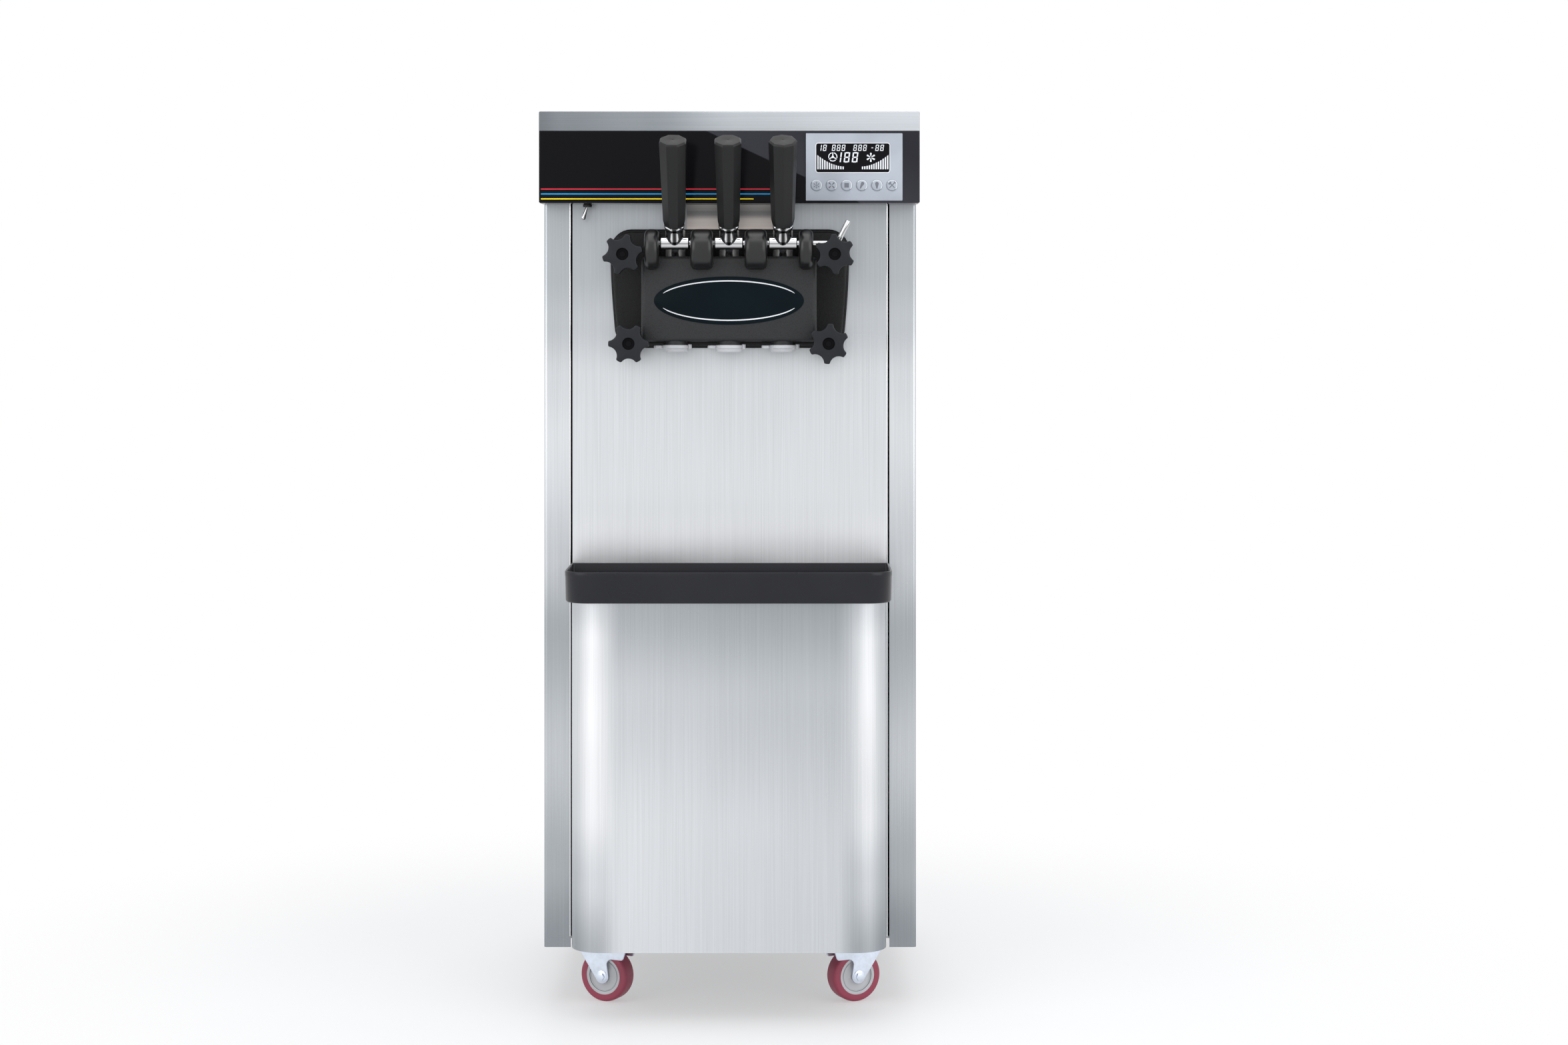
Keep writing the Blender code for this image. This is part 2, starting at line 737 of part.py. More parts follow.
def side_panel(name, side):
    """Folded side panel: front return, side and a rear return, with a bank of louvre slots."""
    outer = side * half_width
    back = rear_y - SHEET - GAP
    bend = arc(0, 0, FOLD_RADIUS, 0, 90, 3)
    front_bend = [
        (outer - side * (FOLD_RADIUS - dx), front_y + FOLD_RADIUS - dy) for dx, dy in reversed(bend)
    ]
    rear_bend = [(outer - side * (FOLD_RADIUS - dx), back - FOLD_RADIUS + dy) for dx, dy in bend]
    section = (
        [(side * stile_edge, front_y)]
        + front_bend
        + rear_bend
        + [(outer - side * PANEL_RETURN * 2, back)]
    )
    rows = [[(x, y, z) for x, y in section] for z in (panel_bottom, panel_top)]
    panel = sheet(name, rows, SHEET)
    normal_is_outward(panel, Vector((side, 0, 0)))

    def slot(z, length):
        middle = (front_y + rear_y) / 2 + length / 2
        for start in (middle, middle + length + LOUVRE_PITCH):
            low = (outer - PANEL_RETURN, start, z)
            high = (outer + PANEL_RETURN, start + length, z + LOUVRE_HEIGHT)
            yield low, high

    publish(cut(panel, louvres("side_louvres", LOUVRE_LENGTH, slot, LOUVRE_ROWS)), name, STAINLESS)


def normal_is_outward(item, direction):
    """Turn a thin wall's faces so that the largest one looks along a direction."""
    face = max(item.data.polygons, key=lambda polygon: polygon.area)
    if face.normal.dot(direction) < 0:
        item.data.flip_normals()
    return item


def rear_panel():
    """Flat rear panel on the side panels' returns, with two banks of louvre slots."""
    edge = half_width - SHEET
    outline = round_box(-edge, edge, panel_bottom, panel_top, SHEET, 2)
    slots = []
    for row in range(LOUVRE_ROWS):
        z = LOUVRE_BASE + row * LOUVRE_PITCH
        for x in (-LOUVRE_LENGTH - LOUVRE_PITCH, LOUVRE_PITCH):
            slots.append([
                (x, z),
                (x + LOUVRE_LENGTH, z),
                (x + LOUVRE_LENGTH, z + LOUVRE_HEIGHT),
                (x, z + LOUVRE_HEIGHT),
            ])
    depth = CABINET_DEPTH
    panel = front_flat("rear_panel", [outline] + slots, (-depth, -depth + SHEET))
    publish(panel, "rear_panel", STAINLESS)


def front_panel():
    """Front sheet between the stiles, folded back at its edges, open behind the head."""
    edge = stile_edge - SEAM
    depth = front_y + PANEL_RETURN
    section = [(-edge, depth), (-edge, front_y), (edge, front_y), (edge, depth)]
    bottom = base_top + GAP
    rows = [[(x, y, z) for x, y in section] for z in (bottom, panel_top)]
    panel = sheet("front_panel", rows, SHEET)
    normal_is_outward(panel, Vector((0, -1, 0)))
    reach = LEVER_PITCH + BARREL_RADIUS + SEAM
    window = round_box(
        -reach, reach, barrel_z - BARREL_RADIUS - SEAM, barrel_z + BARREL_RADIUS + SEAM, FACE_CORNER
    )
    opening = front_flat("barrel_opening", [window], (-PANEL_RETURN, PANEL_RETURN))
    publish(cut(panel, opening), "front_panel", STAINLESS)


def lower_front_panel():
    """Bulged lower cover with round upright corners and a flat ledge for the drip tray."""
    edge = lower_half
    front = front_y - LOWER_REACH
    back = front_y - GAP
    section = (
        [(-edge, back)]
        + arc(-edge + LOWER_CORNER, front + LOWER_CORNER, LOWER_CORNER, 180, 270, 7)
        + arc(edge - LOWER_CORNER, front + LOWER_CORNER, LOWER_CORNER, 270, 360, 7)
        + [(edge, back)]
    )
    top = TRAY_BASE - GAP
    rows = [[(x, y, z) for x, y in section] for z in (LOWER_BOTTOM, top)]
    panel = sheet("lower_front_panel", rows, SHEET, capped=True)
    normal_is_outward(panel, Vector((0, -1, 0)))
    publish(panel, "lower_front_panel", STAINLESS)


def pan_rows(x_edge, y_low, y_high, z_edge, z_flat, corner):
    """Two closed rows of a shallow pan: its open edge and its flat side."""
    outline = round_box(-x_edge, x_edge, y_low, y_high, corner, 3)
    return [[(x, y, z) for x, y in outline] for z in (z_edge, z_flat)]


def top_lid():
    """Lift-off lid: a shallow pan turned over the deck and the fascia."""
    rows = pan_rows(
        lid_half, front_y - FASCIA_REACH, rear_y + LID_OVERHANG, lid_bottom, TOTAL_HEIGHT, FOLD_RADIUS
    )
    lid = sheet("top_lid", rows, SHEET, closed=True, capped=True)
    bpy.context.view_layer.update()
    normal_is_outward(lid, Vector((0, 0, 1)))
    carrier = joint_empty("lid_lift", (0, (front_y + rear_y) / 2, TOTAL_HEIGHT))
    publish(lid, "top_lid", STAINLESS, carrier)


def hopper_outline(side, growth):
    """Plan outline of a hopper, grown by an amount all round."""
    centre = side * HOPPER_OFFSET_X
    reach = HOPPER_WIDTH / 2 + growth
    low = front_y + HOPPER_SETBACK - growth
    high = low + HOPPER_LENGTH + 2 * growth
    return round_box(centre - reach, centre + reach, low, high, HOPPER_CORNER + growth, 3)


def hopper_deck():
    """Deck plate with an opening for each hopper and a raised rim that carries the lid."""
    edge = half_width
    outline = round_box(-edge, edge, front_y, rear_y, FOLD_RADIUS, 3)
    holes = [hopper_outline(side, GAP * 4) for side in (-1, 1)]
    plate = level_flat("hopper_deck", [outline] + holes, (deck_top - SHEET, deck_top))
    rim_top = TOTAL_HEIGHT - SHEET - GAP
    inner = round_box(
        -edge + SHEET, edge - SHEET, front_y + SHEET, rear_y - SHEET, FOLD_RADIUS - SHEET, 3
    )
    rim = level_flat("deck_rim", [outline, inner], (deck_top - SHEET / 2, rim_top))
    publish(fuse(plate, rim), "hopper_deck", STAINLESS)


def hopper(name, side):
    """Stainless mix tub with a rim, tapered walls and a spout into its freezing cylinder."""
    rim_z = deck_top + GAP + SHEET
    floor_z = rim_z - HOPPER_DEPTH
    rows = [
        [(x, y, rim_z) for x, y in hopper_outline(side, HOPPER_RIM)],
        [(x, y, rim_z) for x, y in hopper_outline(side, -SHEET)],
        [(x, y, floor_z) for x, y in hopper_outline(side, -SHEET - HOPPER_TAPER)],
    ]
    tub = sheet(name, rows, SHEET, closed=True, capped=True)
    bpy.context.view_layer.update()
    normal_is_outward(tub, Vector((0, 0, 1)))
    place = (side * LEVER_PITCH, front_y + SPOUT_SETBACK)
    tip = barrel_z + BARREL_RADIUS - SPOUT_ENGAGEMENT
    spout = rod("spout", (*place, tip), (*place, floor_z - SHEET / 2), SPOUT_RADIUS, 16)
    bore = rod("spout_bore", (*place, tip - SHEET), (*place, floor_z + HOPPER_TAPER), SPOUT_BORE, 16)
    publish(cut(fuse(tub, spout), bore), name, STAINLESS)


# Fascia and controls
def fascia():
    """Gloss black overhanging front with end and bottom returns, open behind the keypad."""
    edge = lid_half
    corners = {
        "front": [(-edge, FASCIA_REACH), (edge, FASCIA_REACH)],
        "back": [(-edge, GAP), (edge, GAP)],
    }
    bm = bmesh.new()
    points = {}
    for row, ends in corners.items():
        for column, (x, reach) in zip(("left", "right"), ends):
            for level, z in (("low", fascia_bottom), ("high", fascia_top)):
                points[row, column, level] = bm.verts.new(at(x, reach, z))
    for walls in (
        [
            ("front", "left", "low"),
            ("front", "right", "low"),
            ("front", "right", "high"),
            ("front", "left", "high"),
        ],
        [
            ("front", "left", "low"),
            ("back", "left", "low"),
            ("back", "right", "low"),
            ("front", "right", "low"),
        ],
        [
            ("front", "left", "low"),
            ("front", "left", "high"),
            ("back", "left", "high"),
            ("back", "left", "low"),
        ],
        [
            ("front", "right", "low"),
            ("back", "right", "low"),
            ("back", "right", "high"),
            ("front", "right", "high"),
        ],
    ):
        bm.faces.new([points[key] for key in walls])
    bmesh.ops.recalc_face_normals(bm, faces=bm.faces)
    shell = add_mesh("fascia", bm)
    normal_is_outward(shell, Vector((0, -1, 0)))
    wall = shell.modifiers.new("wall", "SOLIDIFY")
    wall.thickness = FASCIA_WALL
    wall.offset = -1.0
    wall.use_even_offset = True
    middle_z = (fascia_top + fascia_bottom) / 2
    reach_x = KEYPAD_WIDTH / 2 - KEYPAD_BORDER
    reach_z = KEYPAD_HEIGHT / 2 - KEYPAD_BORDER
    window = box(
        "keypad_window",
        at(keypad_x - reach_x, FASCIA_REACH + FASCIA_WALL, middle_z - reach_z),
        at(keypad_x + reach_x, FASCIA_REACH - 2 * FASCIA_WALL, middle_z + reach_z),
    )
    low = fascia_bottom - BUSHING_HEIGHT
    bushing = rod(
        "bushing",
        at(toggle_x, TOGGLE_REACH, low),
        at(toggle_x, TOGGLE_REACH, fascia_bottom + FASCIA_WALL / 2),
        BUSHING_RADIUS,
        20,
    )
    bore = rod(
        "bushing_bore",
        at(toggle_x, TOGGLE_REACH, low - SHEET),
        at(toggle_x, TOGGLE_REACH, fascia_bottom + 2 * FASCIA_WALL),
        BUSHING_BORE,
        20,
    )
    publish(cut(fuse(shell, bushing), window, bore), "fascia", GLOSS_BLACK)


def button_places():
    """Middle of each push button, as x and z."""
    z = (fascia_top + fascia_bottom) / 2 - BUTTON_DROP
    first = keypad_x - BUTTON_PITCH * (BUTTON_COUNT - 1) / 2
    return [(first + BUTTON_PITCH * place, z) for place in range(BUTTON_COUNT)]


def control_panel():
    """Keypad plate over the fascia's window, with a round hole for each button."""
    middle_z = (fascia_top + fascia_bottom) / 2
    outline = round_box(
        keypad_x - KEYPAD_WIDTH / 2,
        keypad_x + KEYPAD_WIDTH / 2,
        middle_z - KEYPAD_HEIGHT / 2,
        middle_z + KEYPAD_HEIGHT / 2,
        KEYPAD_CORNER,
        3,
    )
    holes = [arc(x, z, BUTTON_RADIUS + GAP * 2, 0, 330, 11) for x, z in button_places()]
    panel = front_flat(
        "control_panel", [outline] + holes, (keypad_reach, keypad_reach + KEYPAD_THICKNESS)
    )
    publish(panel, "control_panel", KEYPAD_GREY)


def buttons():
    """Flanged push buttons that stand through the keypad."""
    front = keypad_reach + KEYPAD_THICKNESS + BUTTON_PROUD
    flange = keypad_reach - GAP
    back = flange - BUTTON_DEPTH
    for number, (x, z) in enumerate(button_places(), start=1):
        place = Matrix.Translation(at(x, 0, z)) @ Matrix.Rotation(pi / 2, 4, "X")
        profile = [
            (0.0, front),
            (BUTTON_RADIUS - BUTTON_PROUD / 2, front),
            (BUTTON_RADIUS, front - BUTTON_PROUD / 2),
            (BUTTON_RADIUS, flange),
            (BUTTON_RADIUS + BUTTON_FLANGE, flange),
            (BUTTON_RADIUS + BUTTON_FLANGE, back),
            (0.0, back),
        ]
        name = f"button_{number}"
        carrier = joint_empty(name + "_press", at(x, keypad_reach, z))
        publish(turned(name, profile, 12, place), name, KEYPAD_GREY, carrier)


def toggle_switch():
    """Bat of the toggle switch under the fascia, leaning to the left."""
    pivot = at(toggle_x, TOGGLE_REACH, fascia_bottom - BUSHING_HEIGHT / 2)
    place = Matrix.Translation(pivot) @ Matrix.Rotation(TOGGLE_LEAN, 4, "Y")
    profile = [
        (0.0, BUSHING_HEIGHT),
        (TOGGLE_RADIUS, BUSHING_HEIGHT),
        (TOGGLE_RADIUS, -TOGGLE_LENGTH + TOGGLE_RADIUS / 3),
        (TOGGLE_RADIUS * 2 / 3, -TOGGLE_LENGTH),
        (0.0, -TOGGLE_LENGTH),
    ]
    carrier = joint_empty("toggle_pivot", pivot)
    publish(turned("toggle_switch", profile, 16, place), "toggle_switch", POLISHED, carrier)


# Freezing cylinders and drive
def freezing_cylinders():
    """Two barrels welded to a stainless face with a neck and four studs."""
    edge_x = FLANGE_FOOT_HALF_WIDTH - FACE_MARGIN
    low = flange_bottom + FACE_MARGIN
    high = flange_top - FACE_MARGIN
    face = front_flat(
        "freezing_cylinders", [round_box(-edge_x, edge_x, low, high, FACE_CORNER)], (GAP, face_reach)
    )
    neck = front_box(
        "neck", NECK_WIDTH / 2, (GAP, NECK_REACH), (flange_top + GAP, fascia_bottom - GAP)
    )
    stem = front_box(
        "neck_stem",
        NECK_WIDTH / 2 - INSET,
        (GAP * 2, face_reach - INSET),
        (high - FACE_CORNER, flange_top + SEAM),
    )
    tools = [neck, stem]
    cuts = []
    for side in (-1, 1):
        x = side * LEVER_PITCH
        tools.append(
            rod(
                "barrel",
                at(x, -BARREL_LENGTH, barrel_z),
                at(x, face_reach / 2, barrel_z),
                BARREL_RADIUS,
            ),
        )
        bore = BARREL_RADIUS - BARREL_WALL
        cuts.append(
            rod("bore", at(x, BARREL_END - BARREL_LENGTH, barrel_z), at(x, NECK_REACH, barrel_z), bore)
        )
        cuts.append(
            rod(
                "shaft_hole",
                at(x, -BARREL_LENGTH - SHEET, barrel_z),
                at(x, 2 * BARREL_END - BARREL_LENGTH, barrel_z),
                BEATER_SHAFT + GAP,
                16,
            )
        )
        feed_y = front_y + SPOUT_SETBACK
        cuts.append(
            rod(
                "feed_port",
                (x, feed_y, barrel_z),
                (x, feed_y, barrel_z + 2 * BARREL_RADIUS),
                SPOUT_RADIUS + GAP,
                16,
            )
        )
    for x, z, _ in knob_places.values():
        tools.append(rod("stud", at(x, face_reach / 2, z), at(x, stud_tip, z), STUD_RADIUS, 12))
        tools.append(
            rod("stud_pad", at(x, GAP * 2, z), at(x, face_reach - INSET, z), STUD_BOSS - SHEET, 16)
        )
    publish(cut(fuse(face, *tools), *cuts), "freezing_cylinders", STAINLESS)


def beater(name, side):
    """Spiral beater: a shaft with a helical wire blade carried on spokes."""
    x = side * LEVER_PITCH
    start = BARREL_END - BARREL_LENGTH + BEATER_CLEARANCE
    tip = -BEATER_CLEARANCE
    helix = BARREL_RADIUS - BARREL_WALL - BEATER_CLEARANCE - BEATER_WIRE
    shaft = rod(
        name,
        at(x, -BARREL_LENGTH - SHAFT_ENGAGEMENT, barrel_z),
        at(x, tip, barrel_z),
        BEATER_SHAFT,
        16,
    )
    steps = BEATER_TURNS * 9
    margin = 2 * BEATER_WIRE
    curve = bpy.data.curves.new("spiral", "CURVE")
    curve.dimensions = "3D"
    curve.bevel_depth = BEATER_WIRE
    curve.bevel_resolution = 0
    curve.use_fill_caps = True
    spline = curve.splines.new("POLY")
    spline.points.add(steps)
    spoke_tools = []
    for step, point in enumerate(spline.points):
        angle = 2 * pi * BEATER_TURNS * step / steps * side
        reach = start + margin + (tip - start - 2 * margin) * step / steps
        place = at(x + helix * cos(angle), reach, barrel_z + helix * sin(angle))
        point.co = (*place, 1.0)
        if step % (steps // 3) == steps // 6:
            spoke_tools.append(rod("spoke", at(x, reach, barrel_z), place, BEATER_WIRE * 0.8, 8))
    guide = bpy.data.objects.new("spiral_guide", curve)
    cutters.objects.link(guide)
    spiral = solid_curve("spiral", guide)
    carrier = joint_empty(name + "_axis", at(x, start, barrel_z))
    publish(fuse(shaft, *spoke_tools, spiral), name, STAINLESS, carrier)


def gear_motor():
    """Gear case with a socket for each beater shaft, and its flanged motor."""
    front = -BARREL_LENGTH - GAP
    back = front - GEARBOX_DEPTH
    case = front_box(
        "gear_motor",
        GEARBOX_WIDTH / 2,
        (back, front),
        (barrel_z - GEARBOX_HEIGHT / 2, barrel_z + GEARBOX_HEIGHT / 2),
    )
    bevel(case, FOLD_RADIUS * 2, 2)
    motor_end = back - MOTOR_LENGTH
    body = rod("motor", at(0, motor_end, barrel_z), at(0, back + FOLD_RADIUS, barrel_z), MOTOR_RADIUS)
    cap = rod(
        "motor_cap",
        at(0, motor_end - BARREL_END, barrel_z),
        at(0, motor_end + SHEET, barrel_z),
        MOTOR_RADIUS * 0.8,
    )
    sockets = []
    for side in (-1, 1):
        x = side * LEVER_PITCH
        sockets.append(
            rod(
                "socket",
                at(x, front - SHAFT_ENGAGEMENT - SHEET, barrel_z),
                at(x, front + SHEET, barrel_z),
                BEATER_SHAFT + GAP,
                16,
            )
        )
    publish(cut(fuse(case, body, cap), *sockets), "gear_motor", MACHINE_PAINT)


# Dispensing head
def flange_outline(inset):
    """Front outline of the head's flange: bowed sides, round top corners, narrower foot."""
    top = flange_top - inset
    low = flange_bottom + inset
    wide = FLANGE_HALF_WIDTH - inset
    foot = FLANGE_FOOT_HALF_WIDTH - inset
    corner = FLANGE_CORNER - inset
    side = []
    rise = top - corner - low - corner
    for step in range(1, 4):
        share = step / 4
        bow = sin(pi / 2 * share)
        side.append((foot + (wide - foot) * bow, low + corner + rise * share))
    right = (
        arc(foot - corner, low + corner, corner, -90, 0, 4)
        + side
        + arc(wide - corner, top - corner, corner, 0, 90, 5)
    )
    return right + [(-x, z) for x, z in reversed(right)]


def lug_ranges():
    """Left and right x of each of the four hinge lugs."""
    slot = LUG_SLOT / 2
    edges = [-LUG_OUTER_EDGE]
    for x in lever_places.values():
        edges += [x - slot, x + slot]
    edges.append(LUG_OUTER_EDGE)
    return list(zip(edges[0::2], edges[1::2]))


def valve_block():
    """Moulded head: stepped flange, raised block, hinge lugs, plunger bores, ports and outlets."""
    body = front_flat("valve_block", [flange_outline(0)], (flange_reach, flange_mid))
    layer = front_flat(
        "front_layer", [flange_outline(FLANGE_STEP)], (flange_mid - FLANGE_STEP, wing_reach)
    )
    bevel(layer, FLANGE_STEP / 2, 1, radians(60))
    block_back = flange_mid - SHEET
    block = front_box(
        "raised_block", BLOCK_WIDTH / 2, (block_back, BLOCK_REACH), (block_bottom, block_top)
    )
    bevel(block, BLOCK_EDGE, 2)
    tools = [layer, block]
    back_y = front_y - block_back + SHEET
    lug_y = front_y - LUG_REACH
    outline = (
        [(back_y, lug_z - LUG_RADIUS), (back_y, lug_z + LUG_RADIUS)]
        + arc(lug_y, lug_z, LUG_RADIUS, 90, 270, 8)
    )
    for x_range in lug_ranges():
        tools.append(bevel(side_flat("lug", [outline], x_range), LUG_EDGE, 2, radians(60)))
    cuts = []
    for x, z, _ in knob_places.values():
        tools.append(
            rod("boss", at(x, flange_reach + SHEET, z), at(x, wing_reach + SHEET, z), STUD_BOSS, 12)
        )
        cuts.append(
            rod("stud_hole", at(x, 0, z), at(x, wing_reach + 2 * SHEET, z), STUD_RADIUS + GAP, 12)
        )
    bore_radius = PLUNGER_RADIUS + GAP
    bore_top = lug_z + 2 * LUG_RADIUS
    for x in lever_places.values():
        outlet_low = block_bottom - OUTLET_LENGTH
        tools.append(
            rod(
                "outlet",
                at(x, PLUNGER_REACH, outlet_low),
                at(x, PLUNGER_REACH, block_bottom + BLOCK_EDGE),
                OUTLET_RADIUS,
                24,
            )
        )
        cuts.append(
            rod(
                "plunger_bore",
                at(x, PLUNGER_REACH, outlet_low - SHEET),
                at(x, PLUNGER_REACH, bore_top),
                bore_radius,
            )
        )
        start = flange_reach + CHAMBER_DEPTH / 2 if x else wing_reach + SHEET
        port_z = block_bottom + 2 * OUTLET_RADIUS
        cuts.append(rod("port", at(x, start, port_z), at(x, PLUNGER_REACH, port_z), PORT_RADIUS, 16))
    channel = (wing_reach + PLUNGER_REACH - PLUNGER_RADIUS) / 2
    port_z = block_bottom + 2 * OUTLET_RADIUS
    end_x = LEVER_PITCH + SHEET
    cuts.append(
        rod(
            "twist_channel",
            at(-end_x, channel, port_z),
            at(end_x, channel, port_z),
            PORT_RADIUS * 0.8,
            12,
        )
    )
    for side in (-1, 1):
        x = side * LEVER_PITCH
        chamber = BARREL_RADIUS - BARREL_WALL
        cuts.append(
            rod("chamber", at(x, 0, barrel_z), at(x, flange_reach + CHAMBER_DEPTH, barrel_z), chamber)
        )
    reach_x = FLANGE_HALF_WIDTH
    cuts.append(
        rod(
            "pin_hole",
            at(-reach_x, PIVOT_REACH, pivot_z),
            at(reach_x, PIVOT_REACH, pivot_z),
            PIN_RADIUS + GAP,
            16,
        ),
    )
    publish(cut(fuse(body, *tools), *cuts), "valve_block", BLACK_MOULDING)


def pivot_pin():
    """Draw pin through the lugs and levers, with its right end bent up as a pull."""
    bend = []
    turn = pi / 2 - PIN_TAIL_LEAN
    for step in range(5):
        angle = turn * step / 4
        bend.append(
            (PIN_BEND_X + PIN_BEND_RADIUS * sin(angle), pivot_z + PIN_BEND_RADIUS * (1 - cos(angle)))
        )
    last_x, last_z = bend[-1]
    tail = (last_x + PIN_TAIL * sin(PIN_TAIL_LEAN), last_z + PIN_TAIL * cos(PIN_TAIL_LEAN))
    route = [(-LUG_OUTER_EDGE - PIN_OVERHANG, pivot_z)] + bend + [tail]
    curve = bpy.data.curves.new("pivot_pin", "CURVE")
    curve.dimensions = "3D"
    curve.bevel_depth = PIN_RADIUS
    curve.bevel_resolution = 4
    curve.use_fill_caps = True
    spline = curve.splines.new("POLY")
    spline.points.add(len(route) - 1)
    for point, (x, z) in zip(spline.points, route):
        point.co = (*at(x, PIVOT_REACH, z), 1.0)
    guide = bpy.data.objects.new("pin_route", curve)
    cutters.objects.link(guide)
    carrier = joint_empty("pin_axis", at(0, PIVOT_REACH, pivot_z))
    publish(solid_curve("pivot_pin", guide), "pivot_pin", POLISHED, carrier)


def lever(side, x):
    """Lever arm with its hub, neck, tang and forked tongue, and its eight-sided grip."""
    pivot = at(x, PIVOT_REACH, pivot_z)
    lean = Matrix.Translation(pivot) @ Matrix.Rotation(LEVER_LEAN, 4, "X")
    carrier = joint_empty(side + "_lever_pivot", pivot)
    half = HUB_LENGTH / 2
    arm = rod("arm", pivot - Vector((half, 0, 0)), pivot + Vector((half, 0, 0)), HUB_RADIUS)
    profile = [
        (0.0, NECK_LENGTH + TANG_LENGTH),
        (TANG_RADIUS, NECK_LENGTH + TANG_LENGTH),
        (TANG_RADIUS, NECK_LENGTH),
        (COLLAR_RADIUS, NECK_LENGTH),
        (COLLAR_RADIUS, NECK_LENGTH - SHEET),
        (NECK_RADIUS, NECK_LENGTH - COLLAR_RADIUS / 2),
        (NECK_RADIUS, HUB_RADIUS),
        (HUB_RADIUS - INSET, 0.0),
        (0.0, 0.0),
    ]
    neck = turned("neck", profile, 14, lean)
    notch = CROSS_PIN_RADIUS + TONGUE_PLAY
    outer = notch + TONGUE_SIDE
    length = tongue_arm / cos(tongue_angle) + CROSS_PIN_RADIUS + TONGUE_SIDE
    root = tongue_arm - CROSS_PIN_RADIUS - TONGUE_SIDE
    outline = [
        (0, -outer), (length, -outer), (length, -notch), (root, -notch),
        (root, notch), (length, notch), (length, outer), (0, outer),
    ]
    droop = Matrix.Translation(pivot) @ Matrix.Rotation(-tongue_angle, 4, "X")
    tongue = side_flat("tongue", [outline], (-TONGUE_WIDTH / 2, TONGUE_WIDTH / 2), droop)
    bore = rod(
        "pin_bore",
        pivot - Vector((half * 2, 0, 0)),
        pivot + Vector((half * 2, 0, 0)),
        PIN_RADIUS + GAP,
        16,
    )
    publish(cut(fuse(arm, neck, tongue), bore), f"lever_arm_{side}", POLISHED, carrier)

    outer_line = grip_profile()
    profile = [(0.0, outer_line[0][1])] + outer_line + [(0.0, outer_line[-1][1])]
    twist = Matrix.Rotation(-pi / 2 + GRIP_TWISTS[side], 4, "Z")
    grip = turned("grip", profile, GRIP_SIDES, lean @ twist)
    socket = bar(
        "tang_socket",
        lean @ Matrix.Translation((0, 0, NECK_LENGTH)),
        TANG_RADIUS + GAP,
        TANG_LENGTH + GAP,
        16,
    )
    publish(cut(grip, socket), f"lever_grip_{side}", BLACK_MOULDING, carrier)


def plunger(side, x):
    """Stainless valve plunger, slotted for the lever's tongue, with a cross pin."""
    low = block_bottom + PLUNGER_FOOT
    high = pivot_z + PLUNGER_RISE
    body = rod("plunger", at(x, PLUNGER_REACH, low), at(x, PLUNGER_REACH, high), PLUNGER_RADIUS)
    pin_z = pivot_z - tongue_arm * tan(tongue_angle)
    slot_low = pin_z - tongue_arm * tan(tongue_angle) - CROSS_PIN_RADIUS - 2 * TONGUE_SIDE
    slot = box(
        "tongue_slot",
        at(x - PLUNGER_SLOT / 2, PLUNGER_REACH + 2 * PLUNGER_RADIUS, slot_low),
        at(x + PLUNGER_SLOT / 2, PLUNGER_REACH - 2 * PLUNGER_RADIUS, high + SHEET),
    )
    half = PLUNGER_SLOT / 2 + SHEET
    pin = rod(
        "cross_pin",
        at(x - half, PLUNGER_REACH, pin_z),
        at(x + half, PLUNGER_REACH, pin_z),
        CROSS_PIN_RADIUS,
        12,
    )
    carrier = joint_empty(side + "_plunger_axis", at(x, PLUNGER_REACH, pin_z))
    publish(fuse(cut(body, slot), pin), f"plunger_{side}", STAINLESS, carrier)


def nozzle_cap(side, x):
    """White push-on nozzle cap with a star opening and an ear to turn it by."""
    high = block_bottom - GAP
    low = high - CAP_HEIGHT
    inner = OUTLET_RADIUS + GAP
    outer = inner + CAP_WALL
    cap = rod("cap", at(x, PLUNGER_REACH, low), at(x, PLUNGER_REACH, high), outer, 24)
    ear = level_flat(
        "ear",
        [round_box(
            x - outer - CAP_EAR, x,
            front_y - PLUNGER_REACH - CAP_EAR_WIDTH / 2, front_y - PLUNGER_REACH + CAP_EAR_WIDTH / 2,
            CAP_EAR / 2, 3,
        )],
        (high - CAP_EAR_HEIGHT, high - INSET),
    )
    cup = rod(
        "cup", at(x, PLUNGER_REACH, low + CAP_FLOOR), at(x, PLUNGER_REACH, high + SHEET), inner, 24
    )
    star = []
    for corner in range(2 * STAR_POINTS):
        radius = STAR_OUTER if corner % 2 == 0 else STAR_INNER
        angle = pi * corner / STAR_POINTS
        star.append((x + radius * cos(angle), front_y - PLUNGER_REACH + radius * sin(angle)))
    mouth = level_flat("star_mouth", [star], (low - SHEET, high))
    carrier = joint_empty(side + "_cap_axis", at(x, PLUNGER_REACH, low))
    publish(cut(fuse(cap, ear), cup, mouth), f"nozzle_cap_{side}", WHITE_PLASTIC, carrier)


def star_outline(x, z, turn):
    """Six-lobed knob outline with blunt lobes and round valleys."""
    points = []
    count = KNOB_LOBES * 5
    for step in range(count):
        angle = 2 * pi * step / count
        wave = 0.5 + 0.5 * cos(KNOB_LOBES * angle)
        radius = KNOB_VALLEY + (KNOB_RADIUS - KNOB_VALLEY) * min(1.0, 1.35 * wave)
        points.append((x + radius * cos(angle + turn), z + radius * sin(angle + turn)))
    return points


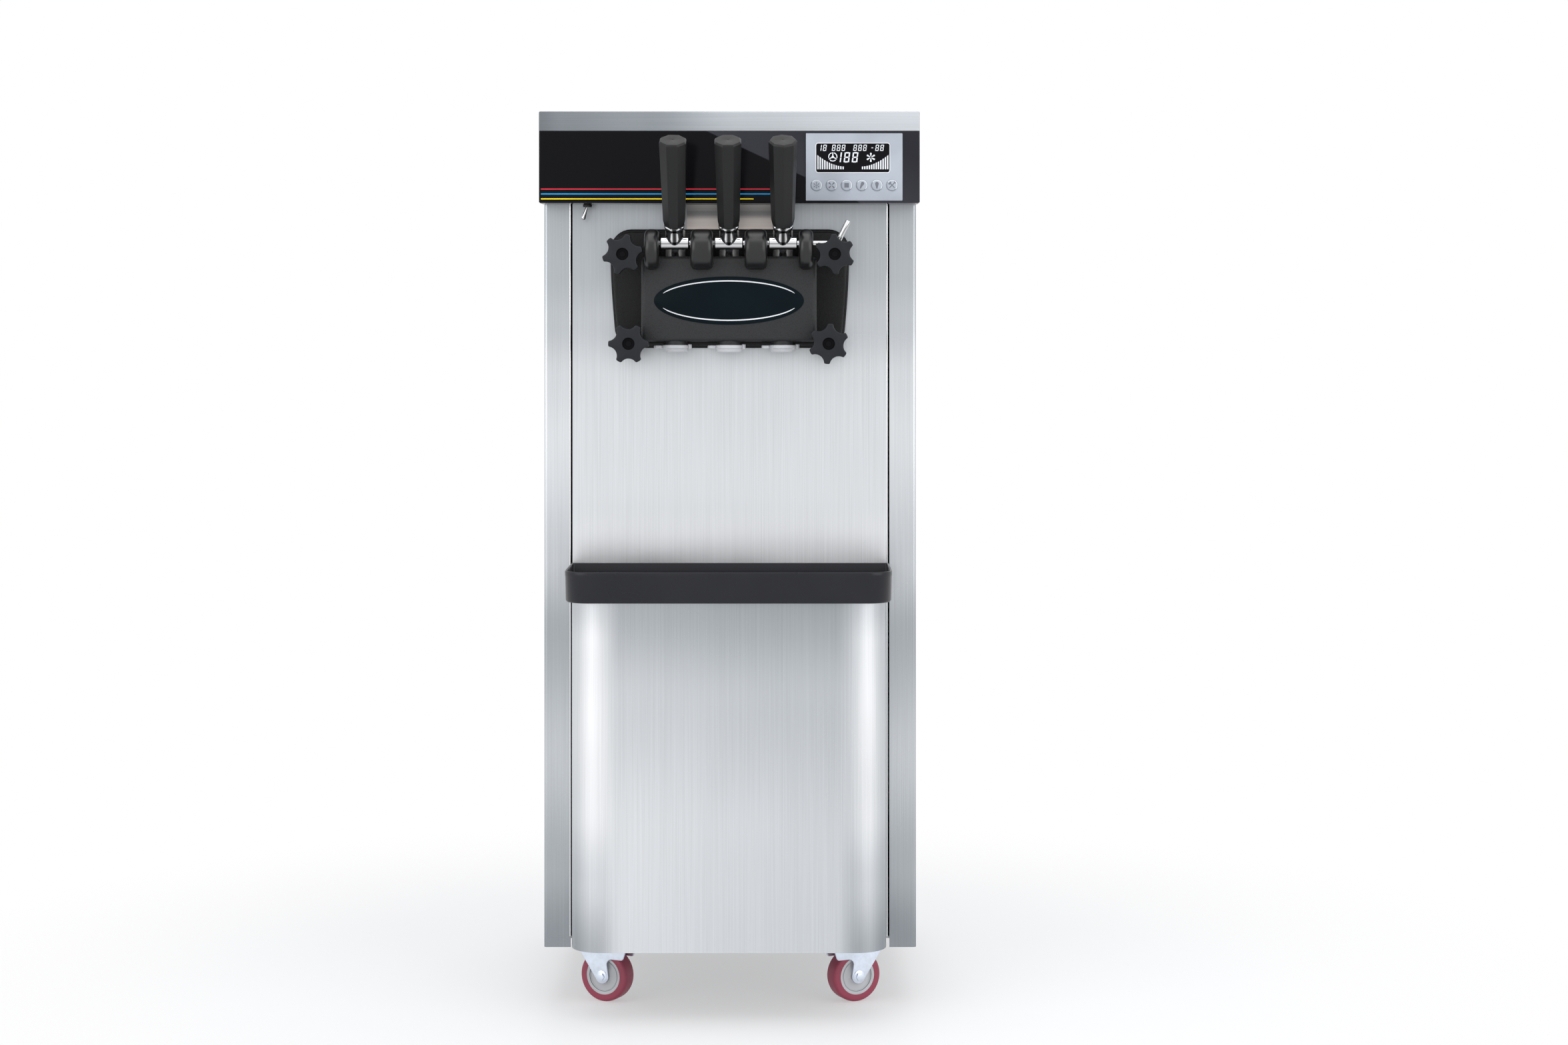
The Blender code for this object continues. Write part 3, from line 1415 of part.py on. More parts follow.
def star_knob(name, x, z, turn):
    """Lobed clamping knob on its stud, with a long hub and a round front recess."""
    knob = front_flat("knob", [star_outline(x, z, turn)], (star_back, star_front))
    bevel(knob, KNOB_EDGE, 1, radians(60))
    hub_back = wing_reach + SHEET + GAP
    hub = rod("hub", at(x, hub_back, z), at(x, star_back + KNOB_EDGE, z), KNOB_HUB, 16)
    bore = rod("stud_bore", at(x, hub_back - SHEET, z), at(x, stud_tip + GAP, z), STUD_RADIUS + GAP, 12)
    recess = rod(
        "recess",
        at(x, star_front - KNOB_RECESS_DEPTH, z),
        at(x, star_front + SHEET, z),
        KNOB_RECESS,
        16,
    )
    carrier = joint_empty(name + "_axis", at(x, star_back, z))
    publish(cut(fuse(knob, hub), bore, recess), name, BLACK_MOULDING, carrier)


def dispensing_head():
    valve_block()
    pivot_pin()
    for side, x in lever_places.items():
        lever(side, x)
        plunger(side, x)
        nozzle_cap(side, x)
    for place, (x, z, turn) in knob_places.items():
        star_knob(f"star_knob_{place}", x, z, turn)


# Drip tray
def tray_outline(inset):
    """Plan outline of the tray, drawn in by an amount all round."""
    edge = tray_half - inset
    low = front_y - TRAY_REACH + inset
    high = front_y - GAP - inset
    return round_box(-edge, edge, low, high, (TRAY_CORNER - inset, SHEET), 4)


def drip_tray():
    """Moulded tray with round front corners and a ledge that carries the grid."""
    body = bevel(
        level_flat("drip_tray", [tray_outline(0)], (TRAY_BASE, tray_top)), SHEET, 1, radians(60)
    )
    ledge_z = tray_top - GRID_DEPTH - GRID_THICKNESS
    upper = level_flat("grid_seat", [tray_outline(TRAY_WALL)], (ledge_z, tray_top + SHEET))
    lower = level_flat(
        "tray_inside", [tray_outline(TRAY_WALL + GRID_LEDGE)], (TRAY_BASE + TRAY_FLOOR, tray_top)
    )
    carrier = joint_empty("tray_lift", at(0, TRAY_REACH / 2, TRAY_BASE))
    publish(cut(body, upper, lower), "drip_tray", BLACK_MOULDING, carrier)


def drip_grid():
    """Slotted splash grid that drops into the tray."""
    inset = TRAY_WALL + GRID_CLEARANCE
    low = tray_top - GRID_DEPTH - GRID_THICKNESS + GAP
    y0 = front_y - TRAY_REACH + inset + GRID_BORDER
    y1 = front_y - inset - GRID_BORDER
    edge = tray_half - inset - TRAY_CORNER
    pitch = 2 * edge / GRID_SLOTS
    slots = []
    for number in range(GRID_SLOTS):
        x = -edge + pitch * (number + 0.5)
        left = x - GRID_SLOT_WIDTH / 2
        right = x + GRID_SLOT_WIDTH / 2
        slots.append([(left, y0), (right, y0), (right, y1), (left, y1)])
    grid = level_flat("drip_grid", [tray_outline(inset)] + slots, (low, low + GRID_THICKNESS))
    carrier = joint_empty("grid_lift", at(0, TRAY_REACH / 2, low))
    publish(grid, "drip_grid", BLACK_MOULDING, carrier)


# Machinery on the base
def compressor():
    """Hermetic compressor: welded dome on a foot plate."""
    z = base_top + GAP
    place = Matrix.Translation((compressor_x, front_y + COMPRESSOR_SETBACK, z))
    r = COMPRESSOR_RADIUS
    h = COMPRESSOR_HEIGHT
    profile = [
        (0.0, h),
        (r * 0.55, h - r * 0.10),
        (r * 0.85, h - r * 0.35),
        (r * 0.93, h - r * 0.70),
        (r * 0.93, h * 0.52),
        (r, h * 0.50),
        (r, h * 0.46),
        (r * 0.93, h * 0.44),
        (r * 0.90, r * 0.30),
        (r * 0.60, COMPRESSOR_FOOT / 2),
        (0.0, COMPRESSOR_FOOT / 2),
    ]
    dome = turned("compressor", profile, 28, place)
    foot = box(
        "foot",
        (compressor_x - r, front_y + COMPRESSOR_SETBACK - r, z),
        (compressor_x + r, front_y + COMPRESSOR_SETBACK + r, z + COMPRESSOR_FOOT),
    )
    publish(fuse(dome, foot), "compressor", MACHINE_PAINT)


def condenser():
    """Finned condenser on the base, with a fan shroud and the fan's shaft post."""
    low = base_top + GAP
    back = -(CABINET_DEPTH - CONDENSER_MARGIN)
    front = back + CONDENSER_DEPTH
    core = box(
        "condenser",
        at(condenser_x - CONDENSER_WIDTH / 2, front, low),
        at(condenser_x + CONDENSER_WIDTH / 2, back, low + CONDENSER_HEIGHT),
    )
    bm = bmesh.new()
    pitch = CONDENSER_WIDTH / (CONDENSER_FINS + 1)
    for number in range(CONDENSER_FINS):
        x = condenser_x - CONDENSER_WIDTH / 2 + pitch * (number + 1)
        middle = at(x, back, low + CONDENSER_HEIGHT / 2)
        size = (FIN_CUT, CONDENSER_DEPTH, CONDENSER_HEIGHT - 2 * FIN_CUT)
        bmesh.ops.create_cube(
            bm, size=1.0, matrix=Matrix.Translation(middle) @ Matrix.Diagonal((*size, 1.0))
        )
    fins = add_mesh("fin_slots", bm)
    z = fan_height()
    shroud_front = front + SHROUD_DEPTH
    shroud = rod(
        "shroud", at(condenser_x, front - SHEET, z), at(condenser_x, shroud_front, z), SHROUD_RADIUS
    )
    throat = rod(
        "throat",
        at(condenser_x, front, z),
        at(condenser_x, shroud_front + SHEET, z),
        SHROUD_RADIUS - SHROUD_WALL,
    )
    shaft = rod(
        "fan_post",
        at(condenser_x, front - SHEET, z),
        at(condenser_x, shroud_front - SHEET, z),
        FAN_SHAFT,
        12,
    )
    body = cut(fuse(core, shroud), fins, throat)
    publish(fuse(body, shaft), "condenser", FIN_ALUMINIUM)


def fan_height():
    """Height of the fan's axis."""
    return base_top + GAP + CONDENSER_HEIGHT / 2


def condenser_fan():
    """Fan with pitched blades on the condenser's post."""
    z = fan_height()
    front = CONDENSER_DEPTH + CONDENSER_MARGIN - CABINET_DEPTH
    middle = front + SHROUD_DEPTH / 2
    half = FAN_DEPTH / 2
    hub = rod("fan", at(condenser_x, middle - half, z), at(condenser_x, middle + half, z), FAN_HUB, 20)
    tip = SHROUD_RADIUS - SHROUD_WALL - FAN_TIP_CLEARANCE
    blades = []
    axis = Matrix.Translation(at(condenser_x, middle, z))
    for number in range(FAN_BLADES):
        blade = box(
            "blade",
            (FAN_HUB * 0.8, -FAN_BLADE_THICKNESS / 2, -FAN_BLADE_WIDTH / 2),
            (tip * cos(FAN_BLADE_WIDTH / 2 / tip), FAN_BLADE_THICKNESS / 2, FAN_BLADE_WIDTH / 2),
        )
        shift = Matrix.Translation(blade.location)
        spread = Matrix.Rotation(2 * pi * number / FAN_BLADES, 4, "Y")
        blade.matrix_world = axis @ spread @ Matrix.Rotation(-FAN_PITCH, 4, "X") @ shift
        blades.append(blade)
    bore = rod(
        "fan_bore",
        at(condenser_x, middle - FAN_DEPTH, z),
        at(condenser_x, middle + FAN_DEPTH, z),
        FAN_SHAFT + GAP,
        12,
    )
    carrier = joint_empty("fan_axis", at(condenser_x, middle, z))
    publish(cut(fuse(hub, *blades), bore), "condenser_fan", BLACK_MOULDING, carrier)


def build():
    casters()
    base_frame()
    side_panel("side_panel_left", -1)
    side_panel("side_panel_right", 1)
    rear_panel()
    front_panel()
    lower_front_panel()
    top_lid()
    hopper_deck()
    hopper("hopper_left", -1)
    hopper("hopper_right", 1)
    fascia()
    control_panel()
    buttons()
    toggle_switch()
    freezing_cylinders()
    beater("beater_left", -1)
    beater("beater_right", 1)
    gear_motor()
    dispensing_head()
    drip_tray()
    drip_grid()
    compressor()
    condenser()
    condenser_fan()


build()
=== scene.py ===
"""Looks of the floor-standing soft serve machine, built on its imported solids.

Metres, +Z up, the front faces -Y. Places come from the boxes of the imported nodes.
"""

import json
from math import asin, cos, pi, radians, sin, tan

import bmesh
import bpy
from bpy.props import FloatProperty, FloatVectorProperty, PointerProperty
from mathutils import Matrix, Vector


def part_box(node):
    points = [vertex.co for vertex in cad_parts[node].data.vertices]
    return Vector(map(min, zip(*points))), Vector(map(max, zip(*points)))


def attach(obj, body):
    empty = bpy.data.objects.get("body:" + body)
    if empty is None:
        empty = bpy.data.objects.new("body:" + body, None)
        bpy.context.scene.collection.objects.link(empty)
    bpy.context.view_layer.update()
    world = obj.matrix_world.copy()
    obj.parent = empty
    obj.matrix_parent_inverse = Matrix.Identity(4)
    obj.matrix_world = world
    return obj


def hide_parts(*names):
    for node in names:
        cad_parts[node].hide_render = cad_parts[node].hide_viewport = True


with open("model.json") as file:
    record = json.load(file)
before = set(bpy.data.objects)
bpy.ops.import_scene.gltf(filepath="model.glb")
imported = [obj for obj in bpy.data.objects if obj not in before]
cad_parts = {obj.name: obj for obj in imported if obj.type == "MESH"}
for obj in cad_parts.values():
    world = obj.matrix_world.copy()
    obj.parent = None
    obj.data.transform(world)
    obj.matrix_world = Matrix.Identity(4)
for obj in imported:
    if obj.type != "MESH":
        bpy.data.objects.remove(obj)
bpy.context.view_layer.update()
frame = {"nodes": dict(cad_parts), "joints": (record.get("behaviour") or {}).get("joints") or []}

bl_info = {
    "name": "Soft serve machine looks",
    "version": (1, 0, 0),
    "blender": (4, 5, 0),
    "location": "View3D > Sidebar > Soft serve",
    "description": "Builds the visible pieces, finishes and studio of a soft serve machine",
    "category": "Object",
}

SIDES = ("left", "middle", "right")
KNOBS = ("top_left", "top_right", "bottom_left", "bottom_right")
CASTERS = ("front_left", "front_right", "rear_left", "rear_right")
BUTTONS = range(1, 7)

# Slanted field of the fascia: its slope, and where its edge meets the fascia's top
FIELD_SLOPE = 0.467
FIELD_START = -0.0324

# Louvre hoods: how long and thick they are, and how deep they sit in the sheet
HOOD_LENGTH = 0.09
HOOD_RADIUS = 0.0035
HOOD_SUNK = 0.0013

# Dispensing head: draw pin, lugs, front face, and the bores for pin, knob bolts and plungers
PIN_BEND_X = 0.146
PIN_RADIUS = 0.0039
PIN_BORE = 0.0043
LUG_EDGE_X = 0.1185
LUG_REACH = 0.093
LUG_RADIUS = 0.0285
HEAD_REACH = 0.090
BOLT_BORE = 0.0053
PLUNGER_BORE = 0.01425

# Levers: lean of the arms, and drop of the tongues towards the plungers
LEVER_LEAN = radians(28)
TONGUE_DROP = radians(27.5)

# Brush lines per metre along x, y and z, on upright sheets, level sheets and small parts
UPRIGHT_LINES = (900.0, 900.0, 4.0)
LEVEL_LINES = (4.0, 700.0, 900.0)
EVEN_LINES = (300.0, 300.0, 300.0)

# Share of a noise texture's range that most of it lies in
NOISE_LOW, NOISE_HIGH = 0.3, 0.7


def corners_of(node):
    """Low and high corner of a node's box."""
    low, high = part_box(node)
    return Vector(low), Vector(high)


def centre_of(node):
    """Middle of a node's box."""
    low, high = corners_of(node)
    return (low + high) / 2


def joint_named(name):
    """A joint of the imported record."""
    return next(joint for joint in frame["joints"] if joint["name"] == name)


def joint_place(name):
    """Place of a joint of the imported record."""
    return Vector(joint_named(name)["pos_m"])


front_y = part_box("front_panel")[0][1]
lid_low, lid_high = corners_of("top_lid")
fascia_low, fascia_high = corners_of("fascia")
keypad_low, keypad_high = corners_of("control_panel")
lower_low, lower_high = corners_of("lower_front_panel")
tray_low, tray_high = corners_of("drip_tray")
_, head_high = corners_of("valve_block")


class SoftServeSizes(bpy.types.PropertyGroup):
    """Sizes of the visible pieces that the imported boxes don't give"""

    lid_edge: FloatProperty(
        name="Lid edge", description="Rounding of the lid's folded edges", default=0.0018, unit="LENGTH"
    )
    sheet: FloatProperty(
        name="Sheet", description="Thickness of the folded stainless sheet", default=0.0015, unit="LENGTH"
    )
    lower_corner: FloatProperty(
        name="Lower corner", description="Radius of the lower cover's upright corners",
        default=0.045, unit="LENGTH",
    )
    tray_corner: FloatProperty(
        name="Tray corner", description="Radius of the drip tray's front corners",
        default=0.035, unit="LENGTH",
    )
    plaque_width: FloatProperty(
        name="Plaque width", description="Width of the plain oval plaque on the head",
        default=0.211, unit="LENGTH",
    )
    plaque_height: FloatProperty(
        name="Plaque height", description="Height of the plain oval plaque", default=0.068, unit="LENGTH"
    )
    stripe: FloatProperty(
        name="Stripe", description="Width of each coloured stripe on the fascia",
        default=0.0017, unit="LENGTH",
    )


class SoftServeColours(bpy.types.PropertyGroup):
    """Colours of the finishes"""

    stainless: FloatVectorProperty(
        name="Stainless", description="Brushed stainless sheet", subtype="COLOR", default=(0.70, 0.72, 0.745)
    )
    moulding: FloatVectorProperty(
        name="Moulding", description="Black moulded plastic", subtype="COLOR", default=(0.021, 0.022, 0.0235)
    )
    gloss: FloatVectorProperty(
        name="Gloss", description="Gloss black fascia", subtype="COLOR", default=(0.0050, 0.0050, 0.0062)
    )
    keypad: FloatVectorProperty(
        name="Keypad", description="Silver grey keypad foil", subtype="COLOR", default=(0.46, 0.50, 0.56)
    )
    tread: FloatVectorProperty(
        name="Tread", description="Red caster tread", subtype="COLOR", default=(0.34, 0.055, 0.095)
    )
    zinc: FloatVectorProperty(
        name="Zinc", description="Bright zinc plating", subtype="COLOR", default=(0.70, 0.76, 0.86)
    )
    red_stripe: FloatVectorProperty(
        name="Red stripe", description="Top stripe on the fascia",
        subtype="COLOR", default=(0.62, 0.01, 0.035),
    )
    blue_stripe: FloatVectorProperty(
        name="Blue stripe", description="Middle stripe on the fascia",
        subtype="COLOR", default=(0.0, 0.33, 0.72),
    )
    yellow_stripe: FloatVectorProperty(
        name="Yellow stripe", description="Bottom stripe on the fascia",
        subtype="COLOR", default=(0.9, 0.68, 0.0),
    )


def sizes():
    """Sizes that a user may change."""
    return bpy.context.scene.soft_serve_sizes


def colours():
    """Colours that a user may change."""
    return bpy.context.scene.soft_serve_colours


# Outlines and mesh tools, in world places
def point(x, reach, z):
    """World point at a distance in front of the front panel."""
    return Vector((x, front_y - reach, z))


def arc(centre_x, centre_y, radius, start, end, count):
    """Points of an arc, angles in degrees."""
    angles = [radians(start + (end - start) * step / count) for step in range(count + 1)]
    return [(centre_x + radius * cos(a), centre_y + radius * sin(a)) for a in angles]


def circle(radius, steps):
    """Points of a full circle about the origin."""
    angles = [2 * pi * step / steps for step in range(steps)]
    return [(radius * cos(a), radius * sin(a)) for a in angles]


def round_box(x0, x1, y0, y1, low, high=None, count=6):
    """Rectangle outline with one corner radius on its low side and one on its high side."""
    high = low if high is None else high
    return (
        arc(x1 - low, y0 + low, low, -90, 0, count)
        + arc(x1 - high, y1 - high, high, 0, 90, count)
        + arc(x0 + high, y1 - high, high, 90, 180, count)
        + arc(x0 + low, y0 + low, low, 180, 270, count)
    )


def outward(bm):
    """Turn the faces of a closed shell outwards."""
    bmesh.ops.recalc_face_normals(bm, faces=bm.faces)
    middle = next(iter(bm.verts)).co.copy()
    volume = 0.0
    for face in bm.faces:
        corners = [vert.co - middle for vert in face.verts]
        for second, third in zip(corners[1:], corners[2:]):
            volume += corners[0].dot(second.cross(third))
    if volume < 0:
        bmesh.ops.reverse_faces(bm, faces=bm.faces)
    return bm


def loft(rows, closed=True, caps=True):
    """Skin over rows of points."""
    bm = bmesh.new()
    loops = [[bm.verts.new(place) for place in row] for row in rows]
    for first, second in zip(loops, loops[1:]):
        count = len(first)
        for index in range(count if closed else count - 1):
            follow = (index + 1) % count
            bm.faces.new((first[index], first[follow], second[follow], second[index]))
    if caps:
        bm.faces.new(loops[0])
        bm.faces.new(loops[-1])
    return outward(bm)


def prism(outline, low, high, place):
    """Flat outline given a thickness along its local Z axis, then placed."""
    return loft([[place @ Vector((x, y, height)) for x, y in outline] for height in (low, high)])


def facing_front(x, z):
    """Placement on the front panel whose Z axis points to the front."""
    return Matrix.Translation((x, front_y, z)) @ Matrix.Rotation(pi / 2, 4, "X")


def front_prism(outline, near, far):
    """Outline in x and z between two reaches."""
    return prism(outline, near, far, facing_front(0, 0))


def level_prism(outline, low, high):
    """Outline in x and y between two heights."""
    return prism(outline, low, high, Matrix.Identity(4))


def side_prism(outline, low, high):
    """Outline in y and z between two x places."""
    upright = Matrix(((0, 0, 1, 0), (1, 0, 0, 0), (0, 1, 0, 0), (0, 0, 0, 1)))
    return prism(outline, low, high, upright)


def lathe(profile, place, steps=48):
    """Profile of (radius, height) turned about the local Z axis; it ends on the axis or where it starts."""
    bm = bmesh.new()
    rings = []
    ring_shaped = profile[0] == profile[-1]
    for radius, height in profile[:-1] if ring_shaped else profile:
        if radius < 1e-7:
            rings.append([bm.verts.new(place @ Vector((0, 0, height)))])
        else:
            rings.append([bm.verts.new(place @ Vector((x, y, height))) for x, y in circle(radius, steps)])
    if ring_shaped:
        rings.append(rings[0])
    for first, second in zip(rings, rings[1:]):
        for step in range(steps):
            follow = (step + 1) % steps
            corners = [first[step % len(first)], first[follow % len(first)]]
            corners += [second[follow % len(second)], second[step % len(second)]]
            unique = list(dict.fromkeys(corners))
            if len(unique) > 2:
                bm.faces.new(unique)
    return outward(bm)


def block(low, high):
    """Box between two corners."""
    low = Vector(low)
    high = Vector(high)
    outline = [(low.x, low.y), (high.x, low.y), (high.x, high.y), (low.x, high.y)]
    return level_prism(outline, low.z, high.z)


def heading(place, way):
    """Placement whose Z axis points along a way."""
    return Matrix.Translation(place) @ way.to_track_quat("Z", "Y").to_matrix().to_4x4()


def bar(start, end, radius, steps=32, edge=0.0):
    """Round bar between two points, with eased ends where an edge is given."""
    way = Vector(end) - Vector(start)
    length = way.length
    if edge:
        side = [(radius - edge, 0.0), (radius, edge), (radius, length - edge), (radius - edge, length)]
    else:
        side = [(radius, 0.0), (radius, length)]
    return lathe([(0.0, 0.0), *side, (0.0, length)], heading(start, way), steps)


def tube(places, radius, steps=20):
    """Round tube along a list of points with flat ends."""
    rows = []
    last = len(places) - 1
    for index, here in enumerate(places):
        before = places[max(index - 1, 0)]
        after = places[min(index + 1, last)]
        turn = heading(here, Vector(after) - Vector(before))
        rows.append([turn @ Vector((x, y, 0)) for x, y in circle(radius, steps)])
    return loft(rows)


# Objects from meshes
def mesh_object(name, bm, *materials):
    """Object at the origin from a bmesh, which is freed."""
    mesh = bpy.data.meshes.new(name)
    bm.to_mesh(mesh)
    bm.free()
    for material in materials:
        mesh.materials.append(material)
    item = bpy.data.objects.new(name, mesh)
    bpy.context.scene.collection.objects.link(item)
    return item


def solid(name, bm, material, edge=0.0, segments=3, angle=40, smooth=35):
    """Finished object from a bmesh, with optional rounded edges."""
    item = mesh_object(name, bm, material)
    if edge:
        round_edges(item, edge, segments, angle)
        bake(item)
    shade(item, smooth)
    return item


def round_edges(item, width, segments, angle=40):
    """Bevel on every edge that is sharper than an angle."""
    rounding = item.modifiers.new("edge", "BEVEL")
    rounding.width = width
    rounding.segments = segments
    rounding.limit_method = "ANGLE"
    rounding.angle_limit = radians(angle)


def thicken(item, thickness):
    """Inner wall for a sheet, which is then baked and shaded."""
    wall = item.modifiers.new("wall", "SOLIDIFY")
    wall.thickness = thickness
    wall.offset = -1.0
    bake(item)
    shade(item)


def shade(item, angle=35):
    """Smooth shading with sharp folds."""
    item.data.shade_smooth()
    item.data.set_sharp_from_angle(angle=radians(angle))


def bake(item):
    """Replace an object's mesh by its evaluated one and drop the modifiers."""
    bpy.context.view_layer.update()
    seen = item.evaluated_get(bpy.context.evaluated_depsgraph_get())
    mesh = bpy.data.meshes.new_from_object(seen)
    old = item.data
    item.modifiers.clear()
    item.data = mesh
    bpy.data.meshes.remove(old)


def discard(item):
    """Remove an object and its mesh."""
    mesh = item.data
    bpy.data.objects.remove(item, do_unlink=True)
    bpy.data.meshes.remove(mesh)


def carve(item, cutters):
    """Cut bmesh tools out of an object."""
    tools = []
    for index, bm in enumerate(cutters):
        tool = solid(f"tool_{index}", bm, item.data.materials[0])
        step = item.modifiers.new("carve", "BOOLEAN")
        step.operation = "DIFFERENCE"
        step.solver = "EXACT"
        step.object = tool
        tools.append(tool)
    bake(item)
    for tool in tools:
        discard(tool)
    shade(item)


def join(name, items):
    """One object from several, with all their materials."""
    bm = bmesh.new()
    materials = []
    for item in items:
        offset = len(materials)
        materials.extend(item.data.materials)
        before = len(bm.faces)
        bm.from_mesh(item.data)
        bm.faces.ensure_lookup_table()
        for face in bm.faces[before:]:
            face.material_index += offset
        discard(item)
    return mesh_object(name, bm, *materials)


def join_marks(name, shapes, material):
    """One object from many flat marks, such as print and painted shadow."""
    return join(name, [solid(f"mark_{index}", bm, material) for index, bm in enumerate(shapes)])


def fit(item, body, slot, *nodes):
    """Let a piece ride on a body and stand for nodes; the finish slot is not used."""
    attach(item, body)
    if nodes:
        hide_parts(*nodes)


def dress(material, *nodes):
    """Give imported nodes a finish."""
    for node in nodes:
        slots = frame["nodes"][node].data.materials
        slots.clear()
        slots.append(material)


# Node tools
def set_inputs(tree, node, inputs):
    """Set a node's inputs by name or number, each to a value or from a socket."""
    for label, value in inputs.items():
        if isinstance(value, bpy.types.NodeSocket):
            tree.links.new(value, node.inputs[label])
        else:
            node.inputs[label].default_value = value


def add_node(tree, kind, inputs=None, **settings):
    """New node with its settings, such as an operation, and its inputs."""
    node = tree.nodes.new(kind)
    for label, value in settings.items():
        setattr(node, label, value)
    set_inputs(tree, node, inputs or {})
    return node


def object_place(tree, output="Object"):
    """Place on the object, or another output of its texture coordinates."""
    return add_node(tree, "ShaderNodeTexCoord").outputs[output]


def ramp(tree, value, stops, interpolation="LINEAR"):
    """Colour from stops of position and colour, driven by a value."""
    node = add_node(tree, "ShaderNodeValToRGB", {"Fac": value})
    node.color_ramp.interpolation = interpolation
    elements = node.color_ramp.elements
    while len(elements) < len(stops):
        elements.new(1.0)
    for element, (position, colour) in zip(elements, stops):
        element.position = position
        element.color = (*colour, 1.0)
    return node.outputs["Color"]


def mottle(tree, value, colour, contrast):
    """Colour that noise makes a little lighter and darker."""
    stops = ((NOISE_LOW, scaled(colour, 1 - contrast)), (NOISE_HIGH, scaled(colour, 1 + contrast)))
    return ramp(tree, value, stops)


def span(tree, value, low, high):
    """Noise spread over a range of values."""
    spread = {"Value": value, "From Min": NOISE_LOW, "From Max": NOISE_HIGH, "To Min": low, "To Max": high}
    return add_node(tree, "ShaderNodeMapRange", spread).outputs["Result"]


def bump(tree, height, strength, distance):
    """Normal that follows a height."""
    relief = {"Height": height, "Strength": strength, "Distance": distance}
    return add_node(tree, "ShaderNodeBump", relief).outputs["Normal"]


def scaled(colour, factor):
    """Colour made lighter or darker."""
    return tuple(min(1.0, channel * factor) for channel in colour)


def painted_reflection_tint(grey):
    """Grey of a painted reflection on a sheet, which turns bluish as it gets darker."""
    return grey * (0.91 + 0.09 * grey), grey, grey * (1.05 - 0.05 * grey)


# Shader groups
def group_sockets(name, inputs, outputs):
    """New shader node group with its sockets and end nodes."""
    tree = bpy.data.node_groups.new(name, "ShaderNodeTree")
    for label, kind, value in inputs:
        socket = tree.interface.new_socket(label, in_out="INPUT", socket_type=kind)
        socket.default_value = value
    for label, kind in outputs:
        tree.interface.new_socket(label, in_out="OUTPUT", socket_type=kind)
    return tree, tree.nodes.new("NodeGroupInput").outputs, tree.nodes.new("NodeGroupOutput")


def brushed_group():
    """Directional brush lines: a grain value and a broad cloud, from stretched noise."""
    name = "Brushed grain"
    if name in bpy.data.node_groups:
        return bpy.data.node_groups[name]
    tree, start, end = group_sockets(
        name,
        [("Stretch", "NodeSocketVector", (900.0, 900.0, 7.0)), ("Cloud size", "NodeSocketFloat", 5.0)],
        [("Grain", "NodeSocketFloat"), ("Cloud", "NodeSocketFloat")],
    )
    place = object_place(tree)
    stretch = add_node(tree, "ShaderNodeVectorMath", {0: place, 1: start["Stretch"]}, operation="MULTIPLY")
    fine = {"Vector": stretch.outputs["Vector"], "Scale": 1.0, "Detail": 3.0, "Roughness": 0.65}
    lines = add_node(tree, "ShaderNodeTexNoise", fine)
    broad = {"Vector": place, "Scale": start["Cloud size"], "Detail": 1.0}
    cloud = add_node(tree, "ShaderNodeTexNoise", broad)
    set_inputs(tree, end, {"Grain": lines.outputs["Fac"], "Cloud": cloud.outputs["Fac"]})
    return tree


def skin_group():
    """Moulded skin: pebble height and a slow tint."""
    name = "Moulded skin"
    if name in bpy.data.node_groups:
        return bpy.data.node_groups[name]
    tree, start, end = group_sockets(
        name,
        [("Pebbles", "NodeSocketFloat", 900.0), ("Cloud size", "NodeSocketFloat", 14.0)],
        [("Height", "NodeSocketFloat"), ("Cloud", "NodeSocketFloat")],
    )
    place = object_place(tree)
    small = {"Vector": place, "Scale": start["Pebbles"]}
    pebble = add_node(tree, "ShaderNodeTexVoronoi", feature="SMOOTH_F1")
    set_inputs(tree, pebble, {**small, "Smoothness": 0.6})
    fine = add_node(tree, "ShaderNodeTexNoise", {**small, "Detail": 2.0})
    blend = {0: fine.outputs["Fac"], 1: 0.5, 2: pebble.outputs["Distance"]}
    height = add_node(tree, "ShaderNodeMath", blend, operation="MULTIPLY_ADD")
    broad = {"Vector": place, "Scale": start["Cloud size"], "Detail": 2.0}
    cloud = add_node(tree, "ShaderNodeTexNoise", broad)
    set_inputs(tree, end, {"Height": height.outputs["Value"], "Cloud": cloud.outputs["Fac"]})
    return tree


def painted_light_sweep(name, axis, stops, across=None):
    """Painted reflection and shade on a sheet: a soft change of tone along one axis, as stops of place and
    grey.

    It may fade to a plain grey across another axis, on X by the distance from the middle. Across
    then holds that axis, where the tones are full and where faded, the share left and the grey.
    """
    if name in bpy.data.node_groups:
        return bpy.data.node_groups[name]
    tree, _, end = group_sockets(name, [], [("Tone", "NodeSocketColor")])
    split = add_node(tree, "ShaderNodeSeparateXYZ", {"Vector": object_place(tree)}).outputs
    low, high = stops[0][0], stops[-1][0]
    shift = add_node(tree, "ShaderNodeMapRange", {"Value": split[axis], "From Min": low, "From Max": high})
    shares = [((at - low) / (high - low), painted_reflection_tint(grey)) for at, grey in stops]
    tone = ramp(tree, shift.outputs["Result"], shares, "EASE")
    if across:
        other, full, faded, share, grey = across
        distance = split[other]
        if other == "X":
            distance = add_node(tree, "ShaderNodeMath", {0: distance}, operation="ABSOLUTE").outputs["Value"]
        reach = {"Value": distance, "From Min": faded, "From Max": full, "To Min": share}
        fade = add_node(tree, "ShaderNodeMapRange", reach, interpolation_type="SMOOTHSTEP")
        mix = add_node(tree, "ShaderNodeMix", data_type="RGBA")
        plain = (*painted_reflection_tint(grey), 1.0)
        set_inputs(tree, mix, {"Factor": fade.outputs["Result"], "A": plain, "B": tone})
        tone = mix.outputs["Result"]
    set_inputs(tree, end, {"Tone": tone})
    return tree


# Finishes
def new_material(name):
    """Material with a Principled shader, its tree and that shader."""
    material = bpy.data.materials.new(name)
    material.use_nodes = True
    return material, material.node_tree, material.node_tree.nodes["Principled BSDF"]


